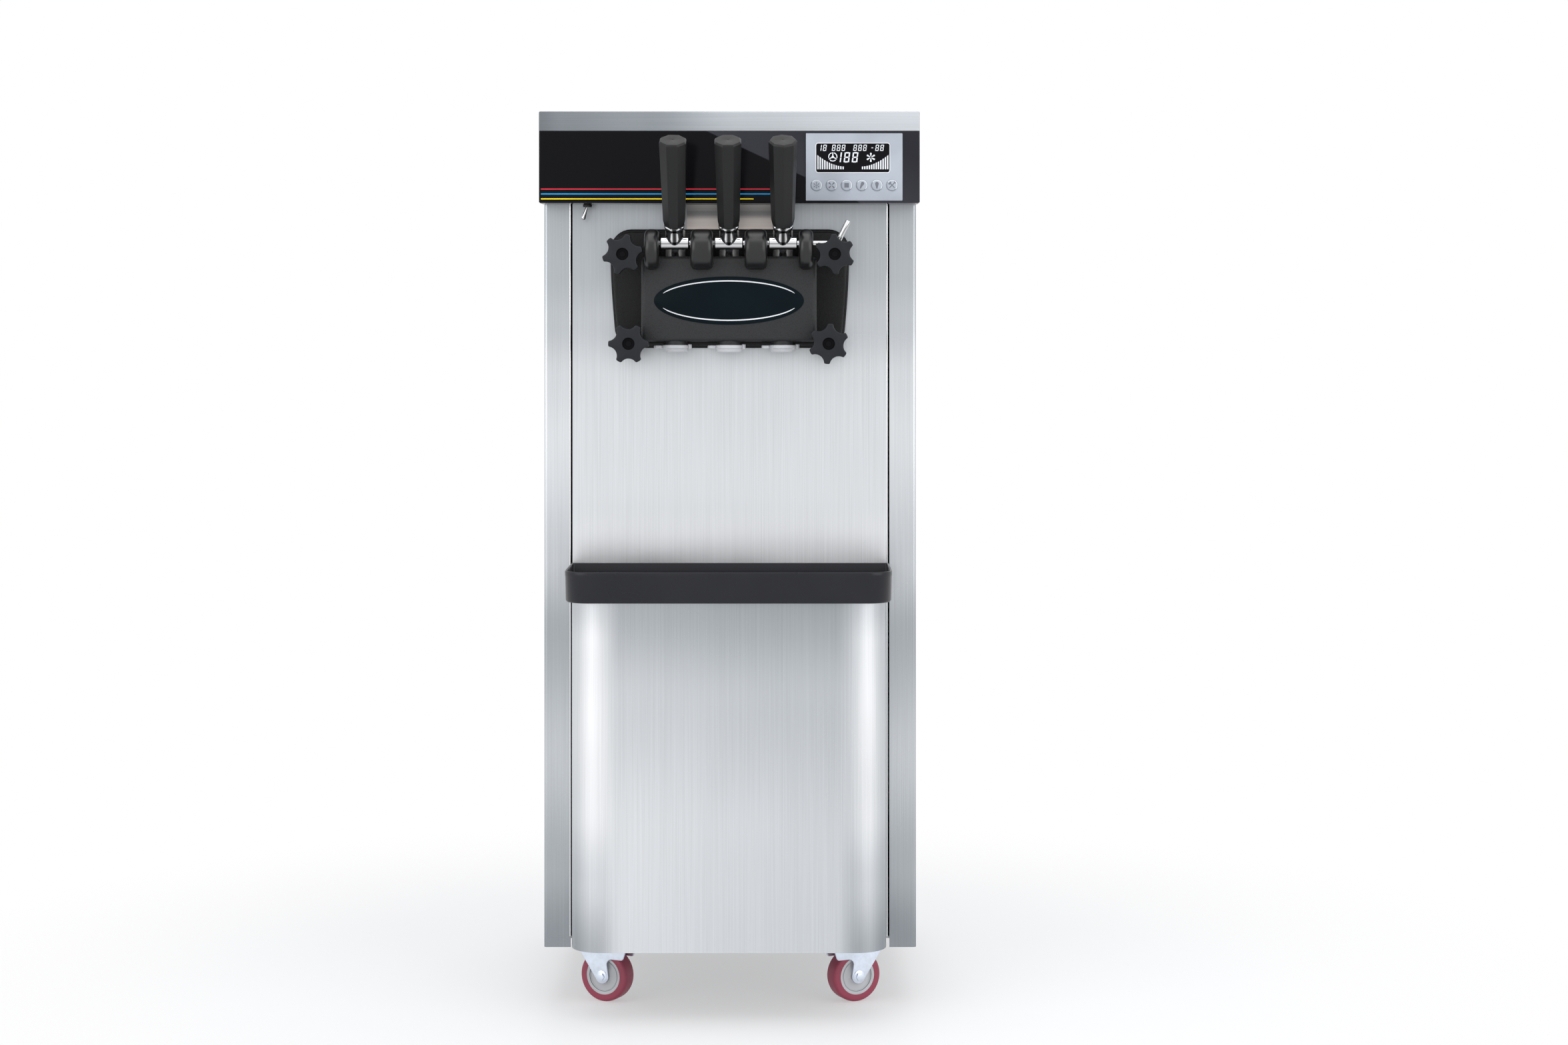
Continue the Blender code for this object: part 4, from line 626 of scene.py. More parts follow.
def brushed_metal(name, colour, stretch, roughness=(0.24, 0.40), contrast=0.10, strength=0.08, painted_sweeps=()):
    """Brushed metal with visible lines along the axis that the stretch leaves long, times any sweeps of
    painted reflection and shade.
    """
    if name in bpy.data.materials:
        return bpy.data.materials[name]
    material, tree, shader = new_material(name)
    grain = add_node(tree, "ShaderNodeGroup", node_tree=brushed_group())
    set_inputs(tree, grain, {"Stretch": stretch})
    tone = mottle(tree, grain.outputs["Grain"], colour, contrast)
    # Each sweep multiplies painted reflection and shade into the colour
    for sweep in painted_sweeps:
        bands = add_node(tree, "ShaderNodeGroup", node_tree=sweep)
        mix = add_node(tree, "ShaderNodeMix", data_type="RGBA", blend_type="MULTIPLY")
        set_inputs(tree, mix, {"Factor": 1.0, "A": tone, "B": bands.outputs["Tone"]})
        tone = mix.outputs["Result"]
    set_inputs(tree, shader, {
        "Base Color": tone,
        "Roughness": span(tree, grain.outputs["Cloud"], *roughness),
        "Normal": bump(tree, grain.outputs["Grain"], strength, 0.0004),
        "Metallic": 1.0,
    })
    return material


def moulded(name, colour, pebbles=900.0, strength=0.25, roughness=(0.40, 0.55), sheen=0.5, grain=0.0):
    """Moulded plastic with a fine pebbled skin, which may also show as a grain of light and dark."""
    if name in bpy.data.materials:
        return bpy.data.materials[name]
    material, tree, shader = new_material(name)
    skin = add_node(tree, "ShaderNodeGroup", node_tree=skin_group())
    set_inputs(tree, skin, {"Pebbles": pebbles})
    source = skin.outputs["Height" if grain else "Cloud"]
    set_inputs(tree, shader, {
        "Base Color": mottle(tree, source, colour, grain or 0.12),
        "Roughness": span(tree, skin.outputs["Cloud"], *roughness),
        "Normal": bump(tree, skin.outputs["Height"], strength, 0.0003),
        "Specular IOR Level": sheen,
    })
    return material


def stainless_sheet(name, lines, *painted_sweeps, roughness=(0.24, 0.40), contrast=0.07):
    """Brushed stainless sheet with painted reflection and shade as broad changes of tone."""
    return brushed_metal(name, colours().stainless, lines, roughness, contrast, painted_sweeps=painted_sweeps)


def stainless_front():
    """Front panel sheet, brushed upright, with painted light and reflection: lighter just above the tray
    against the shade it casts, darker towards the fascia.
    """
    # Painted light above the tray and painted reflection darkening towards the fascia, as tones by height
    tones = [
        (0.54, 0.62), (0.60, 0.95), (0.635, 1.15), (0.67, 1.08), (0.72, 1.0),
        (0.90, 0.96), (0.98, 0.78), (1.05, 0.66), (1.13, 0.62),
    ]
    return stainless_sheet("stainless_front", UPRIGHT_LINES, painted_light_sweep("Front sweep", "Z", tones))


def stainless_upright():
    """Side and rear sheet, brushed upright, with painted reflection as tones by height on the stiles, darkest
    at the foot, that fade along the sides.
    """
    # Painted reflection on the stiles: dark at the foot, at the tray and towards the fascia, bright between
    tones = [
        (0.09, 0.42), (0.20, 0.60), (0.36, 0.79), (0.54, 0.58), (0.64, 0.82),
        (0.82, 0.985), (0.90, 0.95), (0.98, 0.76), (1.05, 0.65), (1.13, 0.61),
    ]
    stiles = ("Y", front_y + 0.003, front_y + 0.06, 0.25, 0.84)
    sweep = painted_light_sweep("Cabinet sweep", "Z", tones, stiles)
    return stainless_sheet("stainless_upright", UPRIGHT_LINES, sweep)


def stainless_lower():
    """Lower cover sheet, brushed upright, with painted shade under the tray and painted highlights on its
    round corners.
    """
    edge = lower_high.x
    inner, outer = edge - 0.075, edge - 0.035
    # Painted shade under the tray across the middle, painted highlights down the round corners and across the
    # width
    middle = [(0.10, 0.97), (0.26, 0.99), (0.45, 0.85), (0.585, 0.60)]
    corners = [(0.10, 0.52), (0.20, 0.78), (0.30, 1.0), (0.42, 1.05), (0.53, 1.0), (0.585, 0.82)]
    width = [
        (-edge, 0.86), (0.03 - edge, 1.18), (0.07 - edge, 1.02), (0.10, 0.90),
        (edge - 0.055, 0.88), (edge - 0.025, 1.12), (edge, 0.76),
    ]
    return stainless_sheet(
        "stainless_lower", UPRIGHT_LINES,
        painted_light_sweep("Lower sweep", "Z", middle, ("X", inner, outer, 0.0, 1.0)),
        painted_light_sweep("Lower corner sweep", "Z", corners, ("X", outer, inner, 0.0, 1.0)),
        painted_light_sweep("Lower width sweep", "X", width),
        contrast=0.06,
    )


def stainless_level():
    """Satin lid sheet, brushed along its length, with painted shade: a front edge darker to the left and the
    rest held at a darker plain grey.
    """
    # Painted shade along the lid's front edge, darker to the left
    tones = [(-0.27, 0.26), (-0.235, 0.33), (-0.12, 0.40), (0.02, 0.67), (0.14, 0.71), (0.27, 0.74)]
    front_edge = ("Y", lid_low.y + 0.002, lid_low.y + 0.03, 0.0, 0.50)
    sweep = painted_light_sweep("Lid sweep", "X", tones, front_edge)
    return stainless_sheet("stainless_level", LEVEL_LINES, sweep, roughness=(0.60, 0.72), contrast=0.06)


def stainless_neck():
    """Cylinder face and neck above the head, brushed along its length, with a painted shadow band under the
    fascia and a painted highlight below it.
    """
    # Painted highlight low on the neck, painted shadow just under the fascia
    painted_sweeps = [painted_light_sweep("Neck sweep", "Z", [(1.110, 2.1), (1.126, 1.7), (1.137, 0.62), (1.150, 1.2)])]
    return brushed_metal("stainless_neck", (0.27, 0.265, 0.26), LEVEL_LINES, contrast=0.12, painted_sweeps=painted_sweeps)


def stainless_plain():
    return brushed_metal("stainless_plain", colours().stainless, EVEN_LINES, (0.18, 0.3), 0.05, 0.03)


def stainless_satin():
    return brushed_metal("stainless_satin", (0.92, 0.91, 0.90), EVEN_LINES, (0.50, 0.60), 0.04, 0.03)


def painted_reflection_chrome(name, axis, stops):
    """Chrome with painted reflections: the bright and dark bands of a studio, in its colour by the way its
    surface faces.
    """
    if name in bpy.data.materials:
        return bpy.data.materials[name]
    material, tree, shader = new_material(name)
    split = add_node(tree, "ShaderNodeSeparateXYZ", {"Vector": object_place(tree, "Normal")})
    shift = add_node(tree, "ShaderNodeMapRange", {"Value": split.outputs[axis], "From Min": -1.0})
    # Painted reflection: the grey of each band stands for what the surface would mirror
    tints = [(at, (grey, grey * 1.01, grey * 1.03)) for at, grey in stops]
    grain = add_node(tree, "ShaderNodeGroup", node_tree=brushed_group())
    set_inputs(tree, shader, {
        "Base Color": ramp(tree, shift.outputs["Result"], tints),
        "Roughness": span(tree, grain.outputs["Cloud"], 0.06, 0.12),
        "Metallic": 1.0,
    })
    return material


def chrome():
    """Chrome of the levers' hubs, the pin and the toggle, with painted reflection bands from below to above.
    """
    stops = (
        (0.0, 0.08), (0.16, 0.30), (0.30, 0.66), (0.41, 0.52), (0.45, 0.10),
        (0.50, 0.62), (0.66, 0.90), (0.86, 0.86), (1.0, 0.34),
    )
    return painted_reflection_chrome("bright_chrome", "Z", stops)


def neck_chrome():
    """Chrome of the levers' necks, with painted reflection bands from left to right."""
    stops = (
        (0.0, 0.35), (0.10, 0.90), (0.28, 0.95), (0.38, 0.50), (0.44, 0.03),
        (0.58, 0.04), (0.65, 0.50), (0.75, 0.95), (0.90, 0.90), (1.0, 0.35),
    )
    return painted_reflection_chrome("neck_chrome", "X", stops)


def zinc():
    return brushed_metal("bright_zinc", colours().zinc, (120.0, 120.0, 120.0), (0.30, 0.42), 0.07, 0.03)


def black_block():
    colour = scaled(colours().moulding, 0.60)
    return moulded("black_head_moulding", colour, 620.0, 0.85, (0.40, 0.52), 0.35, 0.5)


# Darker copy of the head's moulding, a painted shade of the recessed flange
def shaded_flange():
    colour = scaled(colours().moulding, 0.34)
    return moulded("black_flange_moulding", colour, 620.0, 0.6, (0.42, 0.55), 0.2, 0.5)


def black_satin():
    return moulded("black_satin_moulding", scaled(colours().moulding, 0.42), 2200.0, 0.10, (0.34, 0.44), 0.3)


def black_lug():
    return moulded("black_lug_moulding", scaled(colours().moulding, 0.36), 2200.0, 0.06, (0.26, 0.34), 0.5)


def black_knob():
    return moulded("black_knob_moulding", (0.0092, 0.0110, 0.0142), 1800.0, 0.20, (0.36, 0.48), 0.28)


# Near-black lining for the knobs' recesses, darker than the moulding to paint the recess's shade
def bore_black():
    return moulded("bore_black", (0.002, 0.002, 0.003), 1500.0, 0.10, (0.5, 0.6), 0.1)


def black_tray():
    return moulded("black_tray_moulding", (0.0115, 0.012, 0.0165), 2000.0, 0.06, (0.26, 0.36), 0.3)


# Hem steel brighter than the sheet, a painted highlight along the folded edge
def hem_highlight():
    return brushed_metal("bright_hem", (0.88, 0.89, 0.90), (200.0, 200.0, 4.0), (0.12, 0.2), 0.03, 0.02)


def white_plastic():
    return moulded("white_nozzle_plastic", (0.50, 0.51, 0.53), 1500.0, 0.04, (0.26, 0.36))


def flat_ink(name, colour, roughness=0.35):
    """Printed ink with a slight mottle."""
    return moulded(name, colour, 3000.0, 0.02, (roughness, roughness + 0.08))


def gloss_black():
    """Gloss fascia with a paler slanted field towards its right, palest at its edge."""
    name = "gloss_black_fascia"
    if name in bpy.data.materials:
        return bpy.data.materials[name]
    material, tree, shader = new_material(name)
    split = add_node(tree, "ShaderNodeSeparateXYZ", {"Vector": object_place(tree)}).outputs
    slope = {0: split["X"], 1: FIELD_SLOPE, 2: split["Z"]}
    slant = add_node(tree, "ShaderNodeMath", slope, operation="MULTIPLY_ADD").outputs["Value"]
    edge = fascia_high.z + FIELD_SLOPE * FIELD_START
    reach = 0.1
    around = {"Value": slant, "From Min": edge - reach, "From Max": edge + reach}
    shift = add_node(tree, "ShaderNodeMapRange", around)
    dark = colours().gloss
    field = ((0.502, 9.0), (0.66, 8.0), (1.0, 5.0))
    stops = [(0.0, dark), (0.498, dark)] + [(at, scaled(dark, share)) for at, share in field]
    skin = add_node(tree, "ShaderNodeGroup", node_tree=skin_group())
    set_inputs(tree, shader, {
        "Base Color": ramp(tree, shift.outputs["Result"], stops),
        "Roughness": span(tree, skin.outputs["Cloud"], 0.10, 0.16),
        "Specular IOR Level": 0.08,
    })
    return material


def rubber_tread():
    return moulded("red_tread", colours().tread, 700.0, 0.15, (0.42, 0.55))


def wheel_grey():
    return moulded("grey_wheel_core", (0.60, 0.61, 0.63), 1200.0, 0.06, (0.35, 0.45))


def wheel_dark():
    return moulded("dark_wheel_groove", (0.09, 0.09, 0.095), 1200.0, 0.06, (0.45, 0.55))


def glass_black():
    return moulded("display_glass", (0.004, 0.004, 0.006), 100.0, 0.0, (0.08, 0.12), 0.1)


def keypad_foil():
    return moulded("keypad_foil", scaled(colours().keypad, 0.94), 2600.0, 0.05, (0.50, 0.60), 0.2)


# White ink, also used for the painted highlight arcs of the buttons
def white_ink():
    return flat_ink("white_ink", (0.80, 0.82, 0.86))


# Grey ink, also used for the painted shadow arcs of the buttons
def grey_ink():
    return flat_ink("grey_ink", (0.16, 0.17, 0.20))


# Geometry Nodes trees
def tree_sockets(name, inputs):
    """New geometry tree with named sizes, a rotation and a finish beside its geometry."""
    tree = bpy.data.node_groups.new(name, "GeometryNodeTree")
    tree.interface.new_socket("Geometry", in_out="INPUT", socket_type="NodeSocketGeometry")
    tree.interface.new_socket("Geometry", in_out="OUTPUT", socket_type="NodeSocketGeometry")
    for label, value in inputs:
        socket = tree.interface.new_socket(label, in_out="INPUT", socket_type="NodeSocketFloat")
        socket.default_value = value
    tree.interface.new_socket("Rotation", in_out="INPUT", socket_type="NodeSocketRotation")
    tree.interface.new_socket("Finish", in_out="INPUT", socket_type="NodeSocketMaterial")
    return tree, tree.nodes.new("NodeGroupInput").outputs


def place_on_points(tree, start, shape):
    """End of a tree: a shape on every point, realized and given its finish."""
    spots = {"Points": start["Geometry"], "Instance": shape, "Rotation": start["Rotation"]}
    placed = add_node(tree, "GeometryNodeInstanceOnPoints", spots).outputs["Instances"]
    real = add_node(tree, "GeometryNodeRealizeInstances", {"Geometry": placed}).outputs["Geometry"]
    finish = add_node(tree, "GeometryNodeSetMaterial", {"Geometry": real, "Material": start["Finish"]})
    add_node(tree, "NodeGroupOutput", {"Geometry": finish.outputs["Geometry"]})
    return tree


def screw_tree():
    """Pan-head screws: a low cone frustum on every point."""
    tree, start = tree_sockets("Pan head screws", [("Radius", 0.004), ("Height", 0.0018)])
    top = add_node(tree, "ShaderNodeMath", {0: start["Radius"], 1: 0.62}, operation="MULTIPLY")
    head = add_node(tree, "GeometryNodeMeshCone", {
        "Vertices": 20,
        "Radius Bottom": start["Radius"],
        "Radius Top": top.outputs["Value"],
        "Depth": start["Height"],
    })
    return place_on_points(tree, start, head.outputs["Mesh"])


def louvre_tree():
    """Pressed louvre hoods: a round bead with closed ends that sits in the sheet along every slot."""
    tree, start = tree_sockets("Louvre hoods", [("Length", HOOD_LENGTH), ("Radius", HOOD_RADIUS)])
    path = add_node(tree, "GeometryNodeCurvePrimitiveLine", mode="DIRECTION")
    set_inputs(tree, path, {"Direction": (1.0, 0.0, 0.0), "Length": start["Length"]})
    ring = {"Resolution": 12, "Radius": start["Radius"]}
    profile = add_node(tree, "GeometryNodeCurvePrimitiveCircle", ring)
    hood = add_node(tree, "GeometryNodeCurveToMesh", {
        "Curve": path.outputs["Curve"], "Profile Curve": profile.outputs["Curve"], "Fill Caps": True,
    })
    return place_on_points(tree, start, hood.outputs["Mesh"])


def grow(name, places, tree, material, **values):
    """Mesh object from a geometry tree on a list of points."""
    mesh = bpy.data.meshes.new(name)
    mesh.from_pydata([tuple(place) for place in places], [], [])
    item = bpy.data.objects.new(name, mesh)
    bpy.context.scene.collection.objects.link(item)
    modifier = item.modifiers.new(tree.name, "NODES")
    modifier.node_group = tree
    values["Finish"] = material
    for socket in tree.interface.items_tree:
        if socket.in_out == "INPUT" and socket.name in values:
            modifier[socket.identifier] = values[socket.name]
    bake(item)
    if not item.data.materials:
        item.data.materials.append(material)
    return item


# Cabinet pieces
def open_shell(faces, thickness, edge, name, material):
    """Folded sheet from four-cornered faces with shared corners, rounded and given a thickness."""
    bm = bmesh.new()
    seen = {}
    for face in faces:
        corners = []
        for place in face:
            key = tuple(round(value, 6) for value in place)
            if key not in seen:
                seen[key] = bm.verts.new(place)
            corners.append(seen[key])
        bm.faces.new(corners)
    bmesh.ops.recalc_face_normals(bm, faces=bm.faces)
    item = mesh_object(name, bm, material)
    round_edges(item, edge, 4)
    thicken(item, thickness)
    return item


def lid_piece():
    """Folded lid with eased edges."""
    a, b = lid_low, lid_high
    top = [(a.x, a.y, b.z), (b.x, a.y, b.z), (b.x, b.y, b.z), (a.x, b.y, b.z)]
    foot = [(x, y, a.z) for x, y, _ in top]
    faces = [top]
    for index in range(4):
        follow = (index + 1) % 4
        faces.append([foot[index], foot[follow], top[follow], top[index]])
    lid = open_shell(faces, sizes().sheet, sizes().lid_edge, "lid_cover", stainless_level())
    fit(lid, "lid", "stainless", "top_lid")


def lower_outline(count=12):
    """Plan of the lower cover, open at the back."""
    edge = lower_high.x
    corner = sizes().lower_corner
    middle_y = lower_low.y + corner
    return (
        [(-edge, lower_high.y)]
        + arc(-edge + corner, middle_y, corner, 180, 270, count)
        + arc(edge - corner, middle_y, corner, 270, 360, count)
        + [(edge, lower_high.y)]
    )


def lower_piece():
    """Bulged lower cover with round upright corners and a closed top under the tray."""
    outline = lower_outline()
    rows = [[(x, y, z) for x, y in outline] for z in (lower_low.z, lower_high.z)]
    bm = loft(rows, closed=False, caps=False)
    bm.verts.ensure_lookup_table()
    bm.faces.new(bm.verts[len(outline):])
    bmesh.ops.recalc_face_normals(bm, faces=bm.faces)
    facing = [face for face in bm.faces if abs(face.normal.y) > 0.9]
    front = min(facing, key=lambda face: face.calc_center_median().y)
    if front.normal.y > 0:
        bmesh.ops.reverse_faces(bm, faces=bm.faces)
    cover = solid("lower_cover", bm, stainless_lower())
    thicken(cover, sizes().sheet)
    fit(cover, "cabinet", "stainless", "lower_front_panel")


class SOFTSERVE_OT_cabinet(bpy.types.Operator):
    """Build the lid and lower cover, and finish the cabinet's sheet metal"""

    bl_idname = "softserve.cabinet"
    bl_label = "Cabinet"

    def execute(self, context):
        dress(stainless_upright(), "side_panel_left", "side_panel_right", "rear_panel")
        dress(stainless_front(), "front_panel")
        dress(stainless_plain(), "hopper_left", "hopper_right", "hopper_deck")
        base = brushed_metal("galvanised_base", (0.42, 0.43, 0.44), (40.0, 40.0, 40.0), (0.4, 0.55))
        dress(base, "base_frame")
        lid_piece()
        lower_piece()
        self.screws()
        self.hoods()
        self.hems()
        return {"FINISHED"}

    def screws(self):
        """Screws in two rows up the rear panel."""
        low, high = corners_of("rear_panel")
        inset = 0.014
        height = 0.0016
        rows = 6
        places = []
        for row in range(rows):
            z = low.z + inset + (high.z - low.z - 2 * inset) * row / (rows - 1)
            for x in (low.x + inset, high.x - inset):
                places.append((x, high.y + height / 2, z))
        screws = grow(
            "rear_screws", places, screw_tree(), stainless_plain(),
            Radius=0.004, Height=height, Rotation=(-pi / 2, 0.0, 0.0),
        )
        fit(screws, "cabinet", "stainless")

    def hoods(self):
        """Hoods over the louvre slots of the back and both sides."""
        _, high = corners_of("rear_panel")
        middle = (front_y + high.y) / 2
        first, pitch = 0.2075, 0.018
        rows = [first + pitch * row for row in range(9)]
        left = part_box("side_panel_left")[0][0] + HOOD_SUNK
        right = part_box("side_panel_right")[1][0] - HOOD_SUNK
        back = [(x, high.y - HOOD_SUNK, z) for z in rows for x in (-0.108, 0.018)]
        banks = [("rear_hoods", back, (0.0, 0.0, 0.0))]
        for name, x in (("left_hoods", left), ("right_hoods", right)):
            places = [(x, middle + start, z) for z in rows for start in (0.045, 0.153)]
            banks.append((name, places, (0.0, 0.0, pi / 2)))
        tree = louvre_tree()
        for name, places, turn in banks:
            bank = grow(
                name, places, tree, stainless_upright(),
                Length=HOOD_LENGTH, Radius=HOOD_RADIUS, Rotation=turn,
            )
            fit(bank, "cabinet", "stainless")

    def hems(self):
        """Folded hems beside the two upright seams of the front, in a steel brighter than the sheet that
        paints the highlight along each fold.
        """
        wide = 0.0018
        low = max(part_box("side_panel_left")[0][2], 0.098)
        inner = max(vertex.co.x for vertex in frame["nodes"]["side_panel_left"].data.vertices)
        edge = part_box("front_panel")[1][0]
        for name, x in (("left_hem", inner - wide), ("right_hem", edge - wide)):
            outline = round_box(x, x + wide, front_y - 0.0007, front_y + 0.0006, 0.0006, count=3)
            strip = solid(name, level_prism(outline, low, fascia_low.z + 0.03), hem_highlight())
            fit(strip, "cabinet", "stainless")


# Fascia and controls
def fascia_piece():
    """Gloss fascia with eased edges, open behind the keypad and round the switch, and the switch's collar."""
    front, back = fascia_low.y, fascia_high.y
    left, right = fascia_low.x, fascia_high.x
    top = fascia_high.z
    foot = top - 0.1022
    low = [(x, y, foot) for x, y in ((left, front), (right, front), (right, back), (left, back))]
    high = [(x, y, top) for x, y, _ in low]
    faces = [
        [low[0], low[1], high[1], high[0]],
        [low[0], low[3], low[2], low[1]],
        [low[0], high[0], high[3], low[3]],
        [low[1], low[2], high[2], high[1]],
    ]
    shell = open_shell(faces, 0.0025, 0.0022, "fascia_cover", gloss_black())
    border, depth = 0.006, 0.01
    window = block(
        (keypad_low.x + border, front - depth, keypad_low.z + border),
        (keypad_high.x - border, front + depth, keypad_high.z - border),
    )
    pivot = joint_place("toggle_flip")
    bore = 0.0046
    hole = bar((pivot.x, pivot.y, foot - 0.02), (pivot.x, pivot.y, foot + 0.02), bore)
    carve(shell, [window, hole])
    fit(shell, "cabinet", "gloss_black", "fascia")
    profile = [
        (bore, 0.0), (0.0064, 0.0), (0.0064, 0.0035), (0.0052, 0.0044), (bore, 0.0044), (bore, 0.0),
    ]
    nut = lathe(profile, Matrix.Translation((pivot.x, pivot.y, fascia_low.z)), 32)
    fit(solid("switch_collar", nut, black_satin()), "cabinet", "black_moulding")


def stripes():
    """Three coloured stripes low on the fascia."""
    band = sizes().stripe
    y = fascia_low.y - 0.00015
    for name, z, end, colour in (
        ("red_stripe", 1.1698, 0.0616, colours().red_stripe),
        ("blue_stripe", 1.1629, 0.0580, colours().blue_stripe),
        ("yellow_stripe", 1.1559, 0.0343, colours().yellow_stripe),
    ):
        strip = block((fascia_low.x + 0.003, y, z - band / 2), (end, fascia_low.y + 0.0004, z + band / 2))
        fit(solid(name, strip, flat_ink(name + "_ink", colour)), "cabinet", "gloss_black")


def toggle_piece():
    """Toggle bat, swelling to a rounded tip."""
    lean = radians(17.5)
    place = Matrix.Translation(joint_place("toggle_flip")) @ Matrix.Rotation(lean, 4, "Y")
    ball = 0.0031
    tip = [(ball * cos(radians(a)), -0.0186 - ball * sin(radians(a))) for a in range(0, 91, 15)]
    profile = [(0.0, 0.004), (0.0017, 0.004), (0.0018, -0.004)] + tip
    profile[-1] = (0.0, profile[-1][1])
    bat = solid("toggle_bat", lathe(profile, place, 24), chrome())
    fit(bat, "toggle", "chrome", "toggle_switch")


# Lit segments of the display's signs, from the top bar round to the middle one
SEGMENTS = {"1": "bc", "8": "abcdefg", "-": "g"}


def digit_bars(text, x, z, height, pitch, near, far):
    """Bars of slanted seven-segment digits, as bmeshes."""
    width = height * 0.54
    thick = height * 0.13
    gap = thick * 0.25
    slant = 0.13
    half = height / 2
    shapes = {
        "a": (thick, width - thick, height - thick, height),
        "b": (width - thick, width, half + gap, height - gap),
        "c": (width - thick, width, gap, half - gap),
        "d": (thick, width - thick, 0, thick),
        "e": (0, thick, gap, half - gap),
        "f": (0, thick, half + gap, height - gap),
        "g": (thick, width - thick, half - thick / 2, half + thick / 2),
    }
    bars = []
    for index, sign in enumerate(text):
        for segment in SEGMENTS[sign]:
            x0, x1, z0, z1 = shapes[segment]
            corners = ((x0, z0), (x1, z0), (x1, z1), (x0, z1))
            outline = [(x + index * pitch + u + slant * v, z + v) for u, v in corners]
            bars.append(front_prism(outline, near, far))
    return bars


def stroke(x, z, x0, x1, z0, z1, near, far):
    """Printed bar from its corners, measured from a place on the panel."""
    corners = ((x0, z0), (x1, z0), (x1, z1), (x0, z1))
    return front_prism([(x + u, z + v) for u, v in corners], near, far)


def turned(outline, x, z, angle):
    """Flat outline turned by an angle in radians about its origin, which is put at a place."""
    c, s = cos(angle), sin(angle)
    return [(x + c * u - s * v, z + s * u + c * v) for u, v in outline]


def spoke(x, z, angle, start, end, thick, near, far):
    """Printed bar that points away from a centre."""
    outline = ((start, -thick), (end, -thick), (end, thick), (start, thick))
    return front_prism(turned(outline, x, z, radians(angle)), near, far)


def snow_bars(x, z, size, near, far):
    """Six-armed snow crystal with a fork on every arm."""
    bars = []
    for arm in range(6):
        angle = 60 * arm + 30
        bars.append(spoke(x, z, angle, size * 0.08, size, size * 0.065, near, far))
        fork_x = x + cos(radians(angle)) * size * 0.52
        fork_z = z + sin(radians(angle)) * size * 0.52
        for lean in (-48, 48):
            prong = (size * 0.08, size * 0.38, size * 0.055)
            bars.append(spoke(fork_x, fork_z, angle + lean, *prong, near, far))
    return bars


def petal(x, z, angle, start, end, half, near, far):
    """Printed drop that widens away from a centre to a round end."""
    outline = [(start, half * 0.25), (start, -half * 0.25)] + arc(end - half, 0.0, half, -80, 80, 10)
    return front_prism(turned(outline, x, z, radians(angle)), near, far)


def band(x, z, inner, outer, start, end, near, far):
    """Flat arc between two radii and two angles, for print and for painted highlight and shadow."""
    outline = arc(x, z, outer, start, end, 24) + arc(x, z, inner, end, start, 24)
    return front_prism(outline, near, far)


def fan_bars(x, z, size, near, far):
    """Fan mark: a ring in three arcs, three spokes and a hub."""
    bars = [front_prism(arc(x, z, size * 0.27, 0, 345, 23), near, far + 0.00004)]
    for turn in (90, 210, 330):
        bars.append(band(x, z, size * 0.80, size, turn + 16, turn + 104, near, far))
        bars.append(spoke(x, z, turn, size * 0.2, size, size * 0.11, near, far))
    return bars


def keypad_piece():
    """Keypad plate with button holes; gives back how far its face stands out."""
    back, front = front_y - keypad_high.y, front_y - keypad_low.y
    outline = round_box(keypad_low.x, keypad_high.x, keypad_low.z, keypad_high.z, 0.0010)
    plate = solid("keypad_plate", front_prism(outline, back, front), keypad_foil(), 0.0004, 2)
    holes = []
    for number in BUTTONS:
        middle = centre_of(f"button_{number}")
        start, end = (point(middle.x, reach, middle.z) for reach in (back - 0.01, front + 0.01))
        holes.append(bar(start, end, 0.00822))
    carve(plate, holes)
    fit(plate, "cabinet", "keypad", "control_panel")
    return front


def meter_bars(x, way, z, near, far):
    """Twelve upright bars whose tops fall along a curve, from an outer edge inwards."""
    count, pitch, wide = 12, 0.00324, 0.0019
    shortest, rise = 0.0037, 0.0165
    bars = []
    for step in range(count):
        sides = (pitch * step, pitch * step + wide)
        tops = [shortest + rise * (1 - min(1.0, side / (count * pitch))) ** 1.9 for side in sides]
        corners = ((sides[0], 0.0), (sides[1], 0.0), (sides[1], tops[1]), (sides[0], tops[0]))
        bars.append(front_prism([(x + way * u, z + v) for u, v in corners], near, far))
    return bars


def display_piece(reach):
    """Display window with seven-segment figures, two bar meters and two picture marks."""
    wide, tall = 0.106, 0.043
    x0, z0 = centre_of("control_panel").x - 0.055, 1.1925
    x1, z1 = x0 + wide, z0 + tall
    corner, line = 0.004, 0.0011
    outside = round_box(x0, x1, z0, z1, corner)
    inside = round_box(x0 + line, x1 - line, z0 + line, z1 - line, corner - line)
    rim = solid("display_rim", front_prism(outside, reach - 0.0002, reach + 0.0004), white_ink())
    fit(rim, "cabinet", "white_plastic")
    glass = solid("display_window", front_prism(inside, reach, reach + 0.0006), glass_black(), 0.0002, 2)
    fit(glass, "cabinet", "gloss_black")
    near, far = reach + 0.0005, reach + 0.0007
    bars = []
    for text, x in (("18", 0.0034), ("888", 0.0230), ("888", 0.0533), ("-88", 0.0776)):
        bars += digit_bars(text, x0 + x, z1 - 0.0118, 0.0089, 0.0069, near, far)
    bars += digit_bars("188", x0 + 0.0280, z0 + 0.0148, 0.0148, 0.0116, near, far)
    for x, way in ((x0 + 0.0027, 1), (x1 - 0.0027, -1)):
        bars += meter_bars(x, way, z0 + 0.0053, near, far)
    bars += fan_bars(x0 + 0.0246, z0 + 0.0228, 0.0065, near, far)
    for angle in range(30, 390, 60):
        bars.append(petal(x0 + 0.0785, z0 + 0.0221, angle, 0.0011, 0.0065, 0.0013, near, far))
    fit(join_marks("display_figures", bars, white_ink()), "cabinet", "white_plastic")


